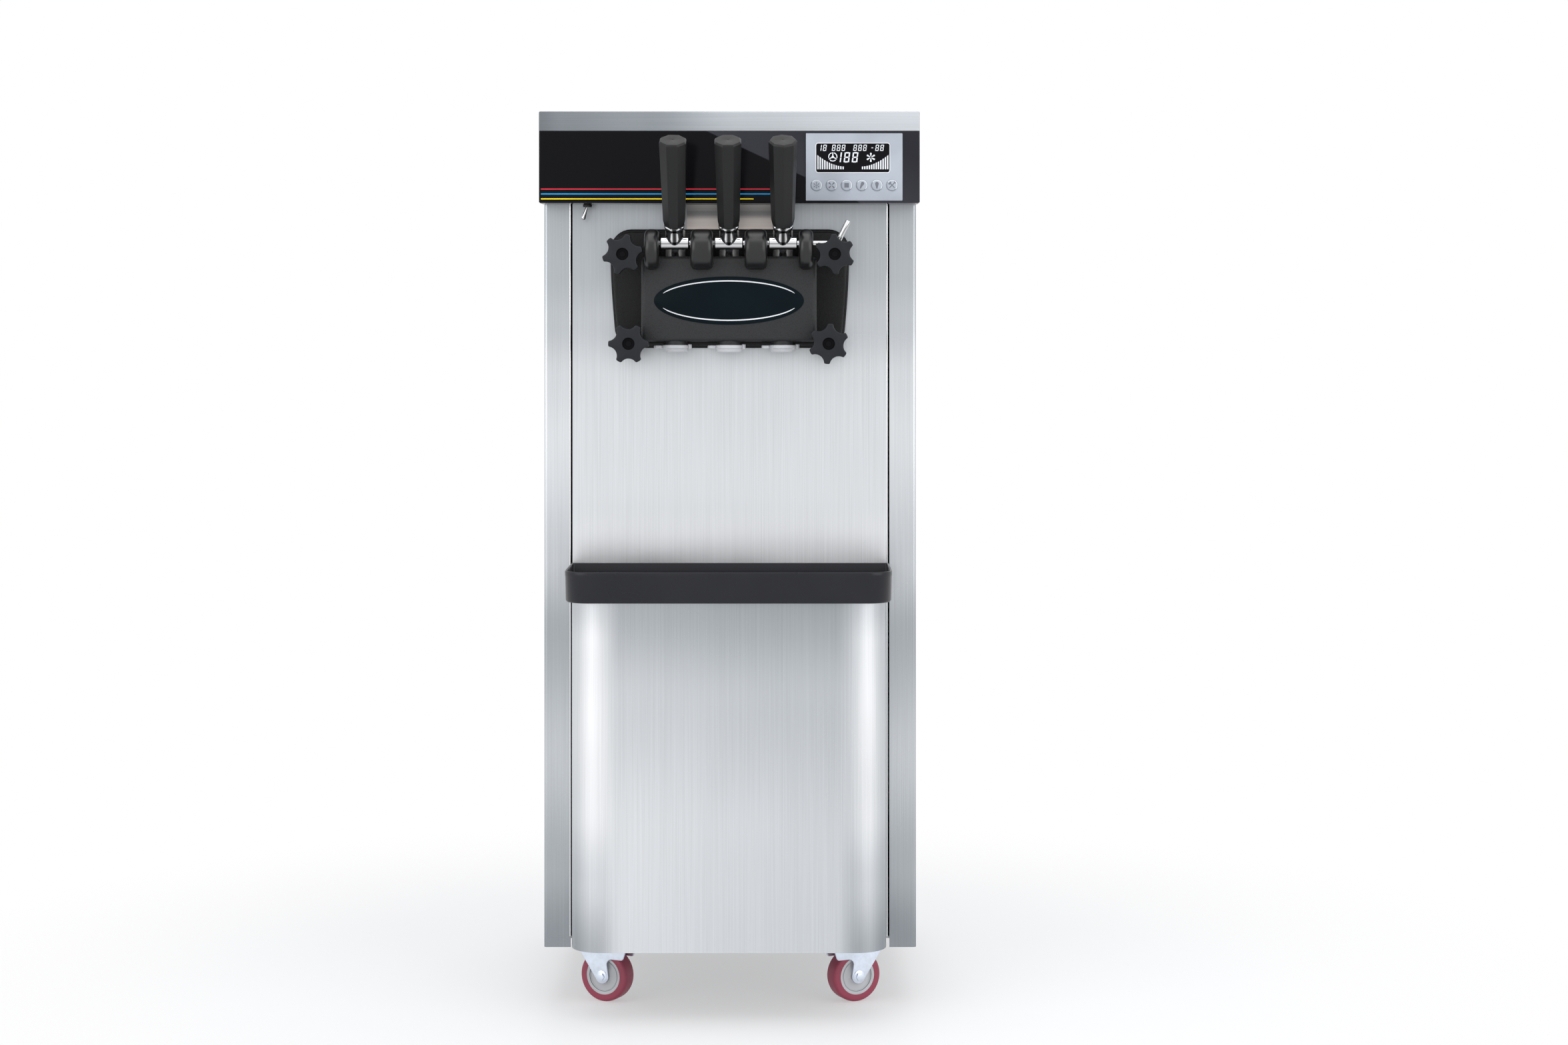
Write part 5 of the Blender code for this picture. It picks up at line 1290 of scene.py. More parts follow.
def icon_bars(x, z, kind, near, far):
    """Plain picture mark of a push button."""
    if kind == 1:
        return snow_bars(x, z, 0.0050, near, far)
    if kind == 2:
        return [petal(x, z, 45 + 90 * arm, 0.0007, 0.0055, 0.0012, near, far) for arm in range(4)]
    if kind == 3:
        return [stroke(x, z, -0.0033, 0.0033, -0.0033, 0.0033, near, far)]
    if kind == 4:
        return [petal(x - 0.0024, z - 0.0046, 64, 0.0, 0.0103, 0.0025, near, far)]
    if kind == 5:
        return [petal(x, z - 0.0048, 90, 0.0, 0.0096, 0.0028, near, far)]
    # Crossed tools: each stroke lies a little higher than the one it crosses
    lift = 0.00003
    tools = []
    for angle, high in ((45, 0), (135, 1)):
        tools.append(spoke(x, z, angle, -0.0052, 0.0048, 0.0007, near, far + lift * high))
    tools.append(spoke(x - 0.0030, z + 0.0030, 45, -0.0024, 0.0020, 0.0012, near, far + lift * 2))
    for angle, high in ((10, 0.5), (80, 4)):
        tools.append(spoke(x + 0.0030, z + 0.0030, angle, 0.0, 0.0026, 0.0006, near, far + lift * high))
    return tools


def button_pieces():
    """Push buttons with a rounded rim, a white painted highlight arc and a grey painted shadow arc along it,
    and a picture mark, each on its own slide.
    """
    for number in BUTTONS:
        name = f"button_{number}"
        middle = centre_of(name)
        x, z = middle.x, middle.z
        top = front_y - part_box(name)[0][1]
        face, foot = top - 0.0002, top - 0.0045
        profile = [
            (0.0, face), (0.0076, face), (0.0079, top - 0.0004), (0.0080, top - 0.0008),
            (0.0080, foot), (0.0, foot),
        ]
        cap = solid(f"button_cap_{number}", lathe(profile, facing_front(x, z), 40), keypad_foil())
        fit(cap, name, "keypad", name)
        near, far = top - 0.0003, top - 0.0001
        # Painted highlight and painted shadow of the embossed ring: a white arc over the top and right, a
        # grey arc over the left and bottom
        light = band(x, z, 0.0068, 0.0076, -45, 145, near, far)
        fit(solid(f"button_ring_{number}", light, white_ink()), name, "white_plastic")
        shadow = band(x, z, 0.0071, 0.0076, 145, 315, near, far)
        marks = icon_bars(x, z, number, near, far) + [shadow]
        fit(join_marks(f"button_icon_{number}", marks, grey_ink()), name, "keypad")


class SOFTSERVE_OT_fascia(bpy.types.Operator):
    """Build the fascia, its stripes, the toggle switch and the control panel"""

    bl_idname = "softserve.fascia"
    bl_label = "Fascia and controls"

    def execute(self, context):
        fascia_piece()
        stripes()
        toggle_piece()
        display_piece(keypad_piece())
        button_pieces()
        return {"FINISHED"}


# Dispensing head
def flange_outline(inset, count=8):
    """Outline of the head's flange with bowed sides."""
    top = head_high.z - inset
    low = head_high.z - 0.170 + inset
    wide = head_high.x - inset
    foot = wide - 0.006
    corner = 0.030 - inset
    bow = []
    for step in range(1, count):
        share = step / count
        x = foot + (wide - foot) * sin(pi / 2 * share)
        bow.append((x, low + corner + (top - low - 2 * corner) * share))
    low_corner = arc(foot - corner, low + corner, corner, -90, 0, count)
    top_corner = arc(wide - corner, top - corner, corner, 0, 90, count)
    right = low_corner + bow + top_corner
    return right + [(-x, z) for x, z in reversed(right)]


def head_piece():
    """Moulded head: stepped flange, raised block, lugs, bosses and outlets, carved for plungers and pin."""
    pivot = joint_place("lever_middle_pull")
    back = front_y - head_high.y
    step_reach = back + 0.014
    wing = step_reach + 0.014
    block_top = pivot.z - 0.018
    block_low = block_top - 0.120
    flange = front_prism(flange_outline(0.0), back, step_reach)
    layer = front_prism(flange_outline(0.004), step_reach - 0.004, wing)
    raised = block(point(-0.1235, HEAD_REACH, block_low), point(0.1235, step_reach, block_top))
    # Flange, layer and bosses take the darker moulding, a painted shade of their recess
    flange = solid("flange", flange, shaded_flange(), 0.0025, 3, 60)
    layer = solid("layer", layer, shaded_flange(), 0.003, 4, 60)
    raised = solid("raised", raised, black_block(), 0.006, 5)

    lug_y, lug_z = front_y - LUG_REACH, pivot.z - 0.0085
    outline = [(front_y - step_reach, lug_z - LUG_RADIUS), (front_y - step_reach, lug_z + LUG_RADIUS)]
    outline += arc(lug_y, lug_z, LUG_RADIUS, 90, 270, 28)
    edges = [-LUG_EDGE_X, -0.09825, -0.05375, -0.02225, 0.02225, 0.05375, 0.09825, LUG_EDGE_X]
    lugs = []
    for x0, x1 in zip(edges[0::2], edges[1::2]):
        lugs.append(solid("lug", side_prism(outline, x0, x1), black_lug(), 0.0075, 6, 60))
        carve(lugs[-1], [bar((-0.2, pivot.y, pivot.z), (0.2, pivot.y, pivot.z), PIN_BORE)])

    knobs = [centre_of(f"star_knob_{knob}") for knob in KNOBS]
    bosses = []
    for knob in knobs:
        start, end = (point(knob.x, reach, knob.z) for reach in (back + 0.002, wing + 0.0015))
        # Bosses in the darker moulding, a painted shade of the recess
        bosses.append(solid("boss", bar(start, end, 0.013, 40, 0.001), shaded_flange()))
    for item in (flange, layer, *bosses):
        ends = [[point(knob.x, reach, knob.z) for reach in (back - 0.01, wing + 0.01)] for knob in knobs]
        carve(item, [bar(start, end, BOLT_BORE, 24) for start, end in ends])

    profile = [
        (PLUNGER_BORE, 0.0), (0.016, 0.0), (0.017, 0.001), (0.017, 0.014),
        (0.016, 0.015), (PLUNGER_BORE, 0.015), (PLUNGER_BORE, 0.0),
    ]
    outlets, bores = [], []
    for side in SIDES:
        middle = centre_of(f"plunger_{side}")
        outlet = lathe(profile, Matrix.Translation((middle.x, middle.y, block_low - 0.009)))
        outlets.append(solid("outlet", outlet, black_block()))
        start, end = ((middle.x, middle.y, z) for z in (block_low - 0.02, pivot.z + 0.05))
        bores.append(bar(start, end, PLUNGER_BORE, 48))
    carve(raised, bores)

    whole = join("head_body", [flange, layer, raised, *lugs, *bosses, *outlets])
    shade(whole)
    fit(whole, "cabinet", "black_moulding", "valve_block")


def plaque_piece():
    """Plain oval plaque with a thin pale line along its upper and its lower edge."""
    z = joint_place("lever_middle_pull").z - 0.0805
    reach = HEAD_REACH
    wide, tall = sizes().plaque_width / 2, sizes().plaque_height / 2
    outline = [(wide * x, z + tall * y) for x, y in circle(1.0, 128)]
    dark = moulded("plaque_navy", (0.0030, 0.0075, 0.0105), 800.0, 0.03, (0.24, 0.32), 0.06)
    plate = solid("oval_plaque", front_prism(outline, reach - 0.0005, reach + 0.0008), dark, 0.0004, 2)
    fit(plate, "cabinet", "gloss_black")
    line_wide, line_tall = wide * 0.945, tall * 0.815
    sweep, steps = 136, 64
    lines = []
    for start in (22, 202):
        outer, inner = [], []
        for step in range(steps + 1):
            angle = radians(start + sweep * step / steps)
            half = 0.0017 / 2 * min(1.0, 10.0 * min(step, steps - step) / steps + 0.35)
            for line, offset in ((outer, half), (inner, -half)):
                line.append(((line_wide + offset) * cos(angle), z + (line_tall + offset) * sin(angle)))
        lines.append(front_prism(outer + inner[::-1], reach + 0.0007, reach + 0.0010))
    fit(join_marks("oval_lines", lines, white_ink()), "cabinet", "white_plastic")


def pin_piece():
    """Draw pin with its bent pull."""
    pivot = joint_place("lever_middle_pull")
    lean = radians(27)
    bend, pull, steps = 0.010, 0.0292, 8
    route = [(-LUG_EDGE_X - 0.0005, pivot.z), (PIN_BEND_X, pivot.z)]
    for step in range(1, steps + 1):
        angle = (pi / 2 - lean) * step / steps
        route.append((PIN_BEND_X + bend * sin(angle), pivot.z + bend * (1 - cos(angle))))
    last_x, last_z = route[-1]
    for share in (0.5, 1.0):
        route.append((last_x + pull * share * sin(lean), last_z + pull * share * cos(lean)))
    places = [(x, pivot.y, z) for x, z in route]
    pin = solid("draw_pin", tube(places, PIN_RADIUS, 24), chrome(), 0.0006, 2, 60)
    fit(pin, "pin", "chrome", "pivot_pin")


def plunger_pieces():
    """Slotted stainless plungers with a cross pin."""
    for side in SIDES:
        node = f"plunger_{side}"
        low, high = corners_of(node)
        middle = (low + high) / 2
        x, y = middle.x, middle.y
        pivot = joint_place(f"lever_{side}_pull")
        drop = abs(pivot.y - y) * tan(TONGUE_DROP)
        pin_z = pivot.z - drop
        slot_low = pin_z - drop - 0.010
        slot = 0.0053
        rod = bar((x, y, low.z), (x, y, high.z), 0.0138, 48, 0.001)
        rod = solid(f"plunger_rod_{side}", rod, stainless_satin())
        carve(rod, [block((x - slot, y - 0.03, slot_low), (x + slot, y + 0.03, high.z + 0.01))])
        cross = bar((x - 0.0075, y, pin_z), (x + 0.0075, y, pin_z), 0.003, 24)
        cross = solid("cross", cross, stainless_plain())
        whole = join(f"plunger_body_{side}", [rod, cross])
        shade(whole)
        fit(whole, f"plunger_{side}", "stainless", node)


def nozzle_pieces():
    """White nozzle caps with a flange, a long and a short turning ear and a star mouth."""
    for side in SIDES:
        node = f"nozzle_cap_{side}"
        low, high = corners_of(node)
        axis = joint_place(f"cap_{side}_turn")
        x, y = axis.x, axis.y
        rim = high.z - low.z - 0.0048
        profile = [
            (0.0172, rim), (0.0194, rim), (0.0199, rim - 0.0006), (0.0199, rim - 0.0044),
            (0.0185, rim - 0.0056), (0.0181, 0.0018), (0.0168, 0.0), (0.0125, 0.0),
            (0.0125, 0.003), (0.0173, 0.003), (0.0172, rim),
        ]
        cup = lathe(profile, Matrix.Translation((x, y, low.z)), 48)
        cup = solid(f"nozzle_cup_{side}", cup, white_plastic())
        top = low.z + rim
        ears = []
        for outline, down, up in (
            (round_box(low.x, x - 0.0175, y - 0.010, y + 0.010, 0.005), 0.0052, -0.0004),
            (round_box(x + 0.0175, x + 0.0232, y - 0.009, y + 0.009, 0.0035), 0.0060, 0.0008),
        ):
            ears.append(solid("ear", level_prism(outline, top - down, top + up), white_plastic(), 0.0012, 3))
        star = []
        for corner in range(12):
            radius = 0.0110 if corner % 2 == 0 else 0.0066
            star.append((x + radius * cos(pi * corner / 6), y + radius * sin(pi * corner / 6)))
        floor = level_prism(arc(x, y, 0.0127, 0, 352.5, 47), low.z + 0.0004, low.z + 0.0028)
        floor = solid("star_floor", floor, white_plastic())
        carve(floor, [level_prism(star, low.z - 0.01, low.z + 0.01)])
        whole = join(f"nozzle_body_{side}", [cup, floor] + ears)
        shade(whole)
        fit(whole, f"cap_{side}", "white_plastic", node)


def scalloped(radius, pitch, scoop, turn, lobes=6, count=10):
    """Circle outline with round scoops, which leave blunt lobes."""
    half = (radius ** 2 + pitch ** 2 - scoop ** 2) / (2 * radius * pitch)
    edge = pi / 2 - asin(half)
    outline = []
    for lobe in range(lobes):
        middle = turn + 2 * pi * lobe / lobes
        start = middle - pi / lobes + edge
        end = middle + pi / lobes - edge
        for step in range(4):
            angle = start + (end - start) * step / 3
            outline.append((radius * cos(angle), radius * sin(angle)))
        dip = middle + pi / lobes
        centre = (pitch * cos(dip), pitch * sin(dip))
        spread = asin(radius * sin(edge) / scoop)
        for step in range(1, count):
            angle = dip + pi + spread - 2 * spread * step / count
            outline.append((centre[0] + scoop * cos(angle), centre[1] + scoop * sin(angle)))
    return outline


def knob_pieces():
    """Six-lobed clamping knobs with a dished front, a near-black bolt end in the bore whose colour paints its
    shade, and a long hub.
    """
    for place, turn in zip(KNOBS, (14, 33, 0, 25)):
        node = f"star_knob_{place}"
        low, high = corners_of(node)
        axis = joint_place(f"knob_{place}_turn")
        x, z = axis.x, axis.z
        front = front_y - low.y
        back = front - 0.018
        rear = front_y - high.y
        dish, dish_floor = 0.0087, front - 0.0050
        outline = [(x + u, z + v) for u, v in scalloped(0.0284, 0.0335, 0.0128, radians(turn))]
        star = solid("star", front_prism(outline, back, front), black_knob(), 0.0016, 3, 30)
        carve(star, [
            bar(point(x, dish_floor, z), point(x, front + 0.01, z), dish, 40),
            bar(point(x, back - 0.01, z), point(x, front - 0.0056, z), BOLT_BORE, 24),
        ])
        sleeve, sleeve_end = 0.0098, back + 0.001
        profile = [
            (BOLT_BORE, rear), (sleeve, rear), (sleeve, sleeve_end),
            (BOLT_BORE, sleeve_end), (BOLT_BORE, rear),
        ]
        hub = solid("hub", lathe(profile, facing_front(x, z), 36), black_knob())
        whole = join(f"knob_{place}", [star, hub])
        shade(whole)
        fit(whole, f"knob_{place}", "black_moulding", node)
        # Bolt end lining the recess, near-black to paint the shade in the recess
        raised, groove, lip = front - 0.0038, front - 0.0044, front - 0.0010
        profile = [
            (0.0, raised), (0.0042, raised), (0.0046, groove), (0.0076, groove), (0.0082, raised),
            (0.0083, lip), (dish, lip), (dish, dish_floor), (0.0, dish_floor),
        ]
        lining = solid(f"knob_bore_{place}", lathe(profile, facing_front(x, z), 36), bore_black())
        fit(lining, f"knob_{place}", "black_moulding")


class SOFTSERVE_OT_head(bpy.types.Operator):
    """Build the dispensing head, its plaque, pin, plungers, nozzle caps and knobs"""

    bl_idname = "softserve.head"
    bl_label = "Dispensing head"

    def execute(self, context):
        dress(stainless_neck(), "freezing_cylinders")
        head_piece()
        plaque_piece()
        pin_piece()
        plunger_pieces()
        nozzle_pieces()
        knob_pieces()
        return {"FINISHED"}


# Levers
class SOFTSERVE_OT_levers(bpy.types.Operator):
    """Build the chromed lever arms and their eight-sided grips"""

    bl_idname = "softserve.levers"
    bl_label = "Levers"

    def execute(self, context):
        for side, twist in zip(SIDES, (20, 24, 4)):
            self.arm(side)
            self.grip(side, radians(twist))
        return {"FINISHED"}

    def lean(self, side):
        """Place of a lever's axis, and the placement of its leaning arm."""
        pivot = joint_place(f"lever_{side}_pull")
        return pivot, Matrix.Translation(pivot) @ Matrix.Rotation(LEVER_LEAN, 4, "X")

    def arm(self, side):
        """Hub, waisted neck and forked tongue of a lever, bored for the pin."""
        pivot, lean = self.lean(side)
        half = Vector((0.020, 0, 0))
        hub = solid("hub", bar(pivot - half, pivot + half, 0.009, 48, 0.0012), chrome())
        profile = [
            (0.0, 0.029), (0.0132, 0.029), (0.0144, 0.0280), (0.0144, 0.0264), (0.0136, 0.0244),
            (0.0126, 0.0222), (0.0121, 0.0190), (0.0119, 0.0150), (0.0121, 0.0110), (0.0124, 0.0090),
            (0.0110, 0.0050), (0.0085, 0.0), (0.0, 0.0),
        ]
        neck = solid("neck", lathe(profile, lean, 48), neck_chrome())
        outer, notch, root, length = 0.0072, 0.0037, 0.0185, 0.0342
        upper = [(0, outer), (length, outer), (length, notch), (root, notch)]
        outline = [(u, -v) for u, v in upper] + upper[::-1]
        side_view = turned(outline, pivot.y, pivot.z, -TONGUE_DROP)
        tongue = side_prism(side_view, pivot.x - 0.0048, pivot.x + 0.0048)
        tongue = solid("tongue", tongue, stainless_plain(), 0.0008, 2)
        for item in (hub, neck, tongue):
            carve(item, [bar(pivot - half * 2, pivot + half * 2, PIN_BORE)])
        whole = join(f"lever_{side}_chrome", [hub, neck, tongue])
        shade(whole)
        fit(whole, f"lever_{side}", "chrome", f"lever_arm_{side}")

    def grip(self, side, twist):
        """Eight-sided grip that widens to its top."""
        _, lean = self.lean(side)
        foot = 0.0293
        top = foot + 0.130
        place = lean @ Matrix.Rotation(-pi / 2 + twist, 4, "Z")
        profile = [
            (0.0, top - 0.0008), (0.0012, top), (0.0181, top), (0.0201, top - 0.0026),
            (0.0166, foot + 0.009), (0.0145, foot), (0.0, foot),
        ]
        grip = solid(f"lever_{side}_grip", lathe(profile, place, 8), black_satin(), 0.0006, 2, 20, 12)
        fit(grip, f"lever_{side}", "black_moulding", f"lever_grip_{side}")


# Drip tray
class SOFTSERVE_OT_tray(bpy.types.Operator):
    """Build the drip tray with its rolled rim and finish the grid"""

    bl_idname = "softserve.tray"
    bl_label = "Drip tray"

    def outline(self, inset, z):
        """Plan of the tray at an inset, at a height."""
        back_corner = 0.002
        corner = max(sizes().tray_corner - inset, back_corner)
        x0, x1 = tray_low.x + inset, tray_high.x - inset
        y0, y1 = tray_low.y + inset, tray_high.y - inset
        return [(x, y, z) for x, y in round_box(x0, x1, y0, y1, corner, back_corner, 14)]

    def execute(self, context):
        top, low = tray_high.z, tray_low.z
        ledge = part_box("drip_grid")[0][2]
        profile = [
            (0.0060, low), (0.0030, low + 0.0006), (0.0012, low + 0.003), (0.0004, top - 0.0080),
            (0.0, top - 0.0065), (0.0, top - 0.0012), (0.0005, top - 0.0004), (0.0012, top),
            (0.0024, top - 0.0004), (0.0030, top - 0.0014), (0.0030, ledge), (0.0070, ledge),
            (0.0072, low + 0.006), (0.0090, low + 0.004),
        ]
        rows = [self.outline(inset, z) for inset, z in profile]
        tray = solid("tray_shell", loft(rows), black_tray(), smooth=40)
        fit(tray, "tray", "black_moulding", "drip_tray")
        dress(black_tray(), "drip_grid")
        return {"FINISHED"}


# Casters
class SOFTSERVE_OT_casters(bpy.types.Operator):
    """Build the four swivel casters"""

    bl_idname = "softserve.casters"
    bl_label = "Casters"

    def execute(self, context):
        for name in CASTERS:
            self.caster(name)
        return {"FINISHED"}

    def caster(self, name):
        """One caster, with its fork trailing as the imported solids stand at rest."""
        swivel = joint_place(f"{name}_swivel")
        axle = joint_place(f"{name}_roll")
        across = Vector(joint_named(f"{name}_roll")["axis"])
        trail = Vector((axle.x - swivel.x, axle.y - swivel.y, 0)).normalized()
        basis = Matrix((
            (trail.x, across.x, 0, axle.x),
            (trail.y, across.y, 0, axle.y),
            (0, 0, 1, axle.z),
            (0, 0, 0, 1),
        ))
        self.wheel(name, heading(axle, across))
        self.fork(name, basis, swivel)
        self.plate(name, swivel)

    def wheel(self, name, spin):
        """Red tread on a grey core with a dark groove on each side."""
        half, radius, core_radius, steps = 0.0135, 0.0375, 0.0270, 72
        crown_drop, crown_wide = 0.0045, 0.0055
        crown = []
        for angle in range(0, 91, 15):
            c, s = cos(radians(angle)), sin(radians(angle))
            crown.append((radius - crown_drop * (1 - c) - 0.00002, (half - crown_wide) + crown_wide * s))
        tread = [(core_radius, half)] + crown[::-1] + [(r, -h) for r, h in crown]
        tread += [(core_radius, -half), (core_radius, half)]
        rim = solid(f"{name}_tread", lathe(tread, spin, steps), rubber_tread())
        side = [
            (0.0048, half - 0.0005), (0.0105, half - 0.0005), (0.0115, half - 0.0015),
            (0.0150, half - 0.0030), (0.0205, half - 0.0030), (0.0222, half - 0.0012),
            (0.0240, half - 0.0004), (core_radius, half - 0.0004),
        ]
        core = side + [(r, -h) for r, h in reversed(side)] + [side[0]]
        hub = solid("core", lathe(core, spin, steps), wheel_grey())
        groove = [(0.0208, 0.0029), (0.0220, 0.0015), (0.0224, 0.0006), (0.0214, 0.0029), (0.0208, 0.0029)]
        grooves = []
        for sign in (-1, 1):
            ring = [(r, sign * (half - depth)) for r, depth in groove]
            grooves.append(solid("groove", lathe(ring, spin, steps), wheel_dark()))
        whole = join(f"{name}_wheel_body", [rim, hub] + grooves)
        shade(whole)
        fit(whole, f"{name}_wheel", "tread", f"{name}_caster_wheel")

    def fork(self, name, basis, swivel):
        """Pressed zinc fork with hex axle bolt and nut."""
        crown_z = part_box(f"{name}_caster_fork")[1][2]
        top = crown_z - 0.0375
        inner, thick = 0.0150, 0.0030
        skirt = top - 0.0178
        tail, nose, wide = -0.042, 0.038, 0.0178
        leg = [(tail, top)] + arc(0, 0, 0.0103, 205, 360, 20)
        leg += arc(0.0159, skirt - 0.008, 0.008, 180, 90, 8) + arc(0.0310, skirt + 0.004, 0.004, -90, -20, 5)
        leg += [(nose, top - 0.006), (nose, top)]
        sides = {sign: Matrix.Rotation(sign * pi / 2, 4, "X") for sign in (-1, 1)}
        items = []
        for sign in sides:
            place = basis @ Matrix.Translation((0, sign * (inner + thick / 2), 0)) @ sides[1]
            items.append(solid("leg", prism(leg, -thick / 2, thick / 2, place), zinc(), 0.0009, 3, 60))
        corners = ((tail, -wide), (nose, -wide), (nose, wide), (tail, wide))
        crown = [basis @ Vector((u, v, 0)) for u, v in corners]
        rows = [[(p.x, p.y, z) for p in crown] for z in (crown_z - 0.0034, crown_z - 0.0002)]
        plate = solid("crown", loft(rows), zinc(), 0.001, 3)
        carve(plate, [bar((swivel.x, swivel.y, 0), (swivel.x, swivel.y, 0.2), 0.0064)])
        items.append(plate)
        start = inner + thick
        washer = [(0.0, -0.001), (0.0088, -0.0002), (0.0085, 0.0006), (0.0060, 0.0016), (0.0, 0.0016)]
        nut = [(0.0, 0.0), (0.0058, 0.0), (0.0058, 0.0042), (0.0050, 0.0045), (0.0, 0.0045)]
        for turn in sides.values():
            for part, profile, steps in (("washer", washer, 40), ("nut", nut, 6)):
                ring = [(r, start + h) for r, h in profile]
                items.append(solid(part, lathe(ring, basis @ turn, steps), zinc()))
        whole = join(f"{name}_fork_body", items)
        shade(whole)
        fit(whole, f"{name}_fork", "zinc", f"{name}_caster_fork")

    def plate(self, name, swivel):
        """Top plate, ball race and kingpin."""
        low, high = corners_of(f"{name}_caster_plate")
        outline = round_box(low.x, high.x, low.y, high.y, 0.006)
        plate = solid("plate", level_prism(outline, high.z - 0.003, high.z), zinc(), 0.0006, 2)
        axis = Matrix.Translation((swivel.x, swivel.y, 0))
        race_top, race_low = high.z - 0.002, swivel.z + 0.0003
        race = [
            (0.0, race_top), (0.0195, race_top), (0.0200, high.z - 0.006), (0.0190, race_low + 0.003),
            (0.0165, race_low), (0.0, race_low),
        ]
        pin_top, head_top = race_low + 0.001, low.z + 0.003
        pin = [
            (0.0, pin_top), (0.006, pin_top), (0.006, head_top), (0.0088, head_top), (0.0080, low.z + 0.0004),
            (0.0, low.z),
        ]
        race = solid("race", lathe(race, axis, 48), zinc())
        pin = solid("pin", lathe(pin, axis, 32), zinc())
        whole = join(f"{name}_plate_body", [plate, race, pin])
        shade(whole)
        fit(whole, "cabinet", "zinc", f"{name}_caster_plate")


class SOFTSERVE_OT_machinery(bpy.types.Operator):
    """Finish the hidden machinery"""

    bl_idname = "softserve.machinery"
    bl_label = "Machinery"

    def execute(self, context):
        dress(moulded("machine_paint", (0.02, 0.022, 0.025), 300.0, 0.1), "gear_motor", "compressor")
        fins = brushed_metal("fin_aluminium", (0.55, 0.56, 0.57), (80.0, 80.0, 80.0), (0.35, 0.5))
        dress(fins, "condenser")
        dress(black_satin(), "condenser_fan")
        dress(stainless_plain(), "beater_left", "beater_right")
        return {"FINISHED"}


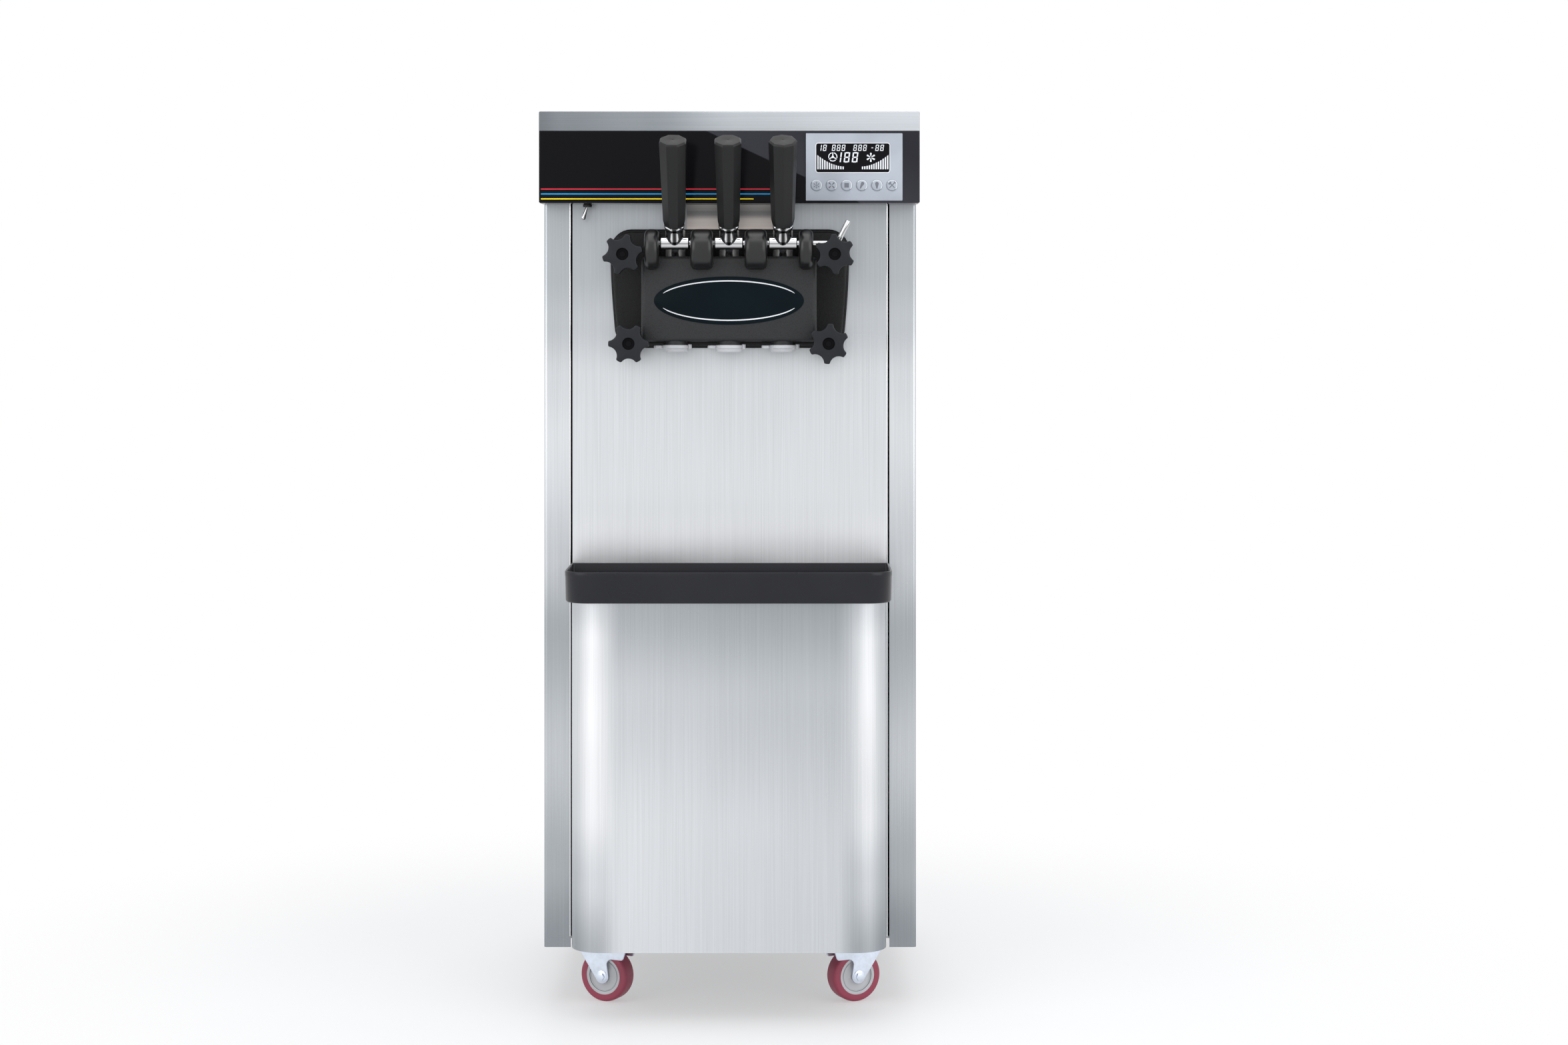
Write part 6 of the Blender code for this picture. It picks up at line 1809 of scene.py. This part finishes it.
# Studio
class SOFTSERVE_OT_stage(bpy.types.Operator):
    """Build the floor, soft studio light, white background and camera"""

    bl_idname = "softserve.stage"
    bl_label = "Studio"

    def execute(self, context):
        self.floor()
        self.world(context.scene)
        self.lamp("left_softbox", (-3.2, -3.4, 2.6), 3.6, 70.0)
        self.lamp("right_softbox", (3.2, -2.8, 2.4), 3.6, 60.0)
        self.lamp("top_softbox", (0.0, -1.2, 4.2), 3.2, 50.0)
        self.lamp("back_softbox", (0.6, 3.6, 2.8), 3.0, 30.0)
        self.camera(context.scene)
        context.scene.view_settings.view_transform = "Standard"
        return {"FINISHED"}

    def white_to_camera(self, tree, shader, white, share=None):
        """Mix that shows plain white to camera, glossy and transmitted rays and a shader to the rest."""
        path = add_node(tree, "ShaderNodeLightPath").outputs
        seen = path["Is Camera Ray"]
        for ray in ("Is Glossy Ray", "Is Transmission Ray"):
            either = add_node(tree, "ShaderNodeMath", {0: seen, 1: path[ray]}, operation="MAXIMUM")
            seen = either.outputs["Value"]
        if share:
            part = add_node(tree, "ShaderNodeMath", {0: seen, 1: share}, operation="MULTIPLY")
            seen = part.outputs["Value"]
        return add_node(tree, "ShaderNodeMixShader", {"Fac": seen, 1: shader, 2: white}).outputs["Shader"]

    def floor(self):
        """Pale floor that keeps the shadow near the machine and turns white further off."""
        material, tree, shader = new_material("pale_floor")
        cloud = add_node(tree, "ShaderNodeTexNoise", {"Scale": 0.8}).outputs["Fac"]
        pale = ((NOISE_LOW, (0.90, 0.90, 0.905)), (NOISE_HIGH, (0.93, 0.93, 0.935)))
        set_inputs(tree, shader, {"Base Color": ramp(tree, cloud, pale), "Roughness": 0.6})
        away = add_node(tree, "ShaderNodeVectorMath", {0: object_place(tree)}, operation="LENGTH")
        reach = {"Value": away.outputs["Value"], "From Min": 0.55, "From Max": 1.4, "To Min": 0.4}
        fade = add_node(tree, "ShaderNodeMapRange", reach, interpolation_type="SMOOTHSTEP").outputs["Result"]
        white = add_node(tree, "ShaderNodeEmission", {"Color": (1.0, 1.0, 1.0, 1.0)}).outputs["Emission"]
        surface = self.white_to_camera(tree, shader.outputs["BSDF"], white, fade)
        set_inputs(tree, tree.nodes["Material Output"], {"Surface": surface})
        size = 9.0
        bm = block((-size, -size, -0.02), (size, size, -0.0002))
        solid("floor", bm, material)

    def world(self, scene):
        """Soft even light with a white background."""
        scene.world = bpy.data.worlds.new("studio")
        scene.world.use_nodes = True
        tree = scene.world.node_tree
        soft = tree.nodes["Background"]
        set_inputs(tree, soft, {"Color": (0.95, 0.97, 1.0, 1.0), "Strength": 0.55})
        white = add_node(tree, "ShaderNodeBackground", {"Color": (1.0, 1.0, 1.0, 1.0)}).outputs["Background"]
        surface = self.white_to_camera(tree, soft.outputs["Background"], white)
        set_inputs(tree, tree.nodes["World Output"], {"Surface": surface})

    def lamp(self, name, place, size, power):
        """Square softbox aimed at the machine's middle."""
        light = bpy.data.lights.new(name, "AREA")
        light.shape = "RECTANGLE"
        light.size = size
        light.size_y = size
        light.energy = power
        item = bpy.data.objects.new(name, light)
        item.location = place
        aim = Vector((0.0, 0.0, 0.7)) - Vector(place)
        item.rotation_euler = aim.to_track_quat("-Z", "Y").to_euler()
        bpy.context.scene.collection.objects.link(item)

    def camera(self, scene):
        """Camera at the photograph's place and angle."""
        data = bpy.data.cameras.new("photo_view")
        data.sensor_width = 36.0
        data.lens = 66.1
        data.shift_y = -0.130
        item = bpy.data.objects.new("photo_view", data)
        item.location = (0.0775, front_y - 4.14, 0.986)
        item.rotation_euler = (pi / 2, 0.0, 0.0)
        scene.collection.objects.link(item)
        scene.camera = item


class SOFTSERVE_PT_panel(bpy.types.Panel):
    """Sidebar list of the machine's builders"""

    bl_label = "Soft serve machine"
    bl_idname = "SOFTSERVE_PT_panel"
    bl_space_type = "VIEW_3D"
    bl_region_type = "UI"
    bl_category = "Soft serve"

    def draw(self, context):
        for operator in OPERATORS:
            self.layout.operator(operator.bl_idname)
        for name in SoftServeSizes.__annotations__:
            self.layout.prop(context.scene.soft_serve_sizes, name)
        for name in SoftServeColours.__annotations__:
            self.layout.prop(context.scene.soft_serve_colours, name)


OPERATORS = (
    SOFTSERVE_OT_cabinet,
    SOFTSERVE_OT_fascia,
    SOFTSERVE_OT_head,
    SOFTSERVE_OT_levers,
    SOFTSERVE_OT_tray,
    SOFTSERVE_OT_casters,
    SOFTSERVE_OT_machinery,
    SOFTSERVE_OT_stage,
)
CLASSES = (SoftServeSizes, SoftServeColours, *OPERATORS, SOFTSERVE_PT_panel)


def register():
    """Register the classes and the scene's settings."""
    for item in CLASSES:
        bpy.utils.register_class(item)
    bpy.types.Scene.soft_serve_sizes = PointerProperty(type=SoftServeSizes)
    bpy.types.Scene.soft_serve_colours = PointerProperty(type=SoftServeColours)


def unregister():
    """Take back what register did."""
    del bpy.types.Scene.soft_serve_colours
    del bpy.types.Scene.soft_serve_sizes
    for item in reversed(CLASSES):
        bpy.utils.unregister_class(item)


def main():
    """Build everything."""
    register()
    bpy.ops.softserve.cabinet()
    bpy.ops.softserve.fascia()
    bpy.ops.softserve.head()
    bpy.ops.softserve.levers()
    bpy.ops.softserve.tray()
    bpy.ops.softserve.casters()
    bpy.ops.softserve.machinery()
    bpy.ops.softserve.stage()


if __name__ == "__main__":
    main()
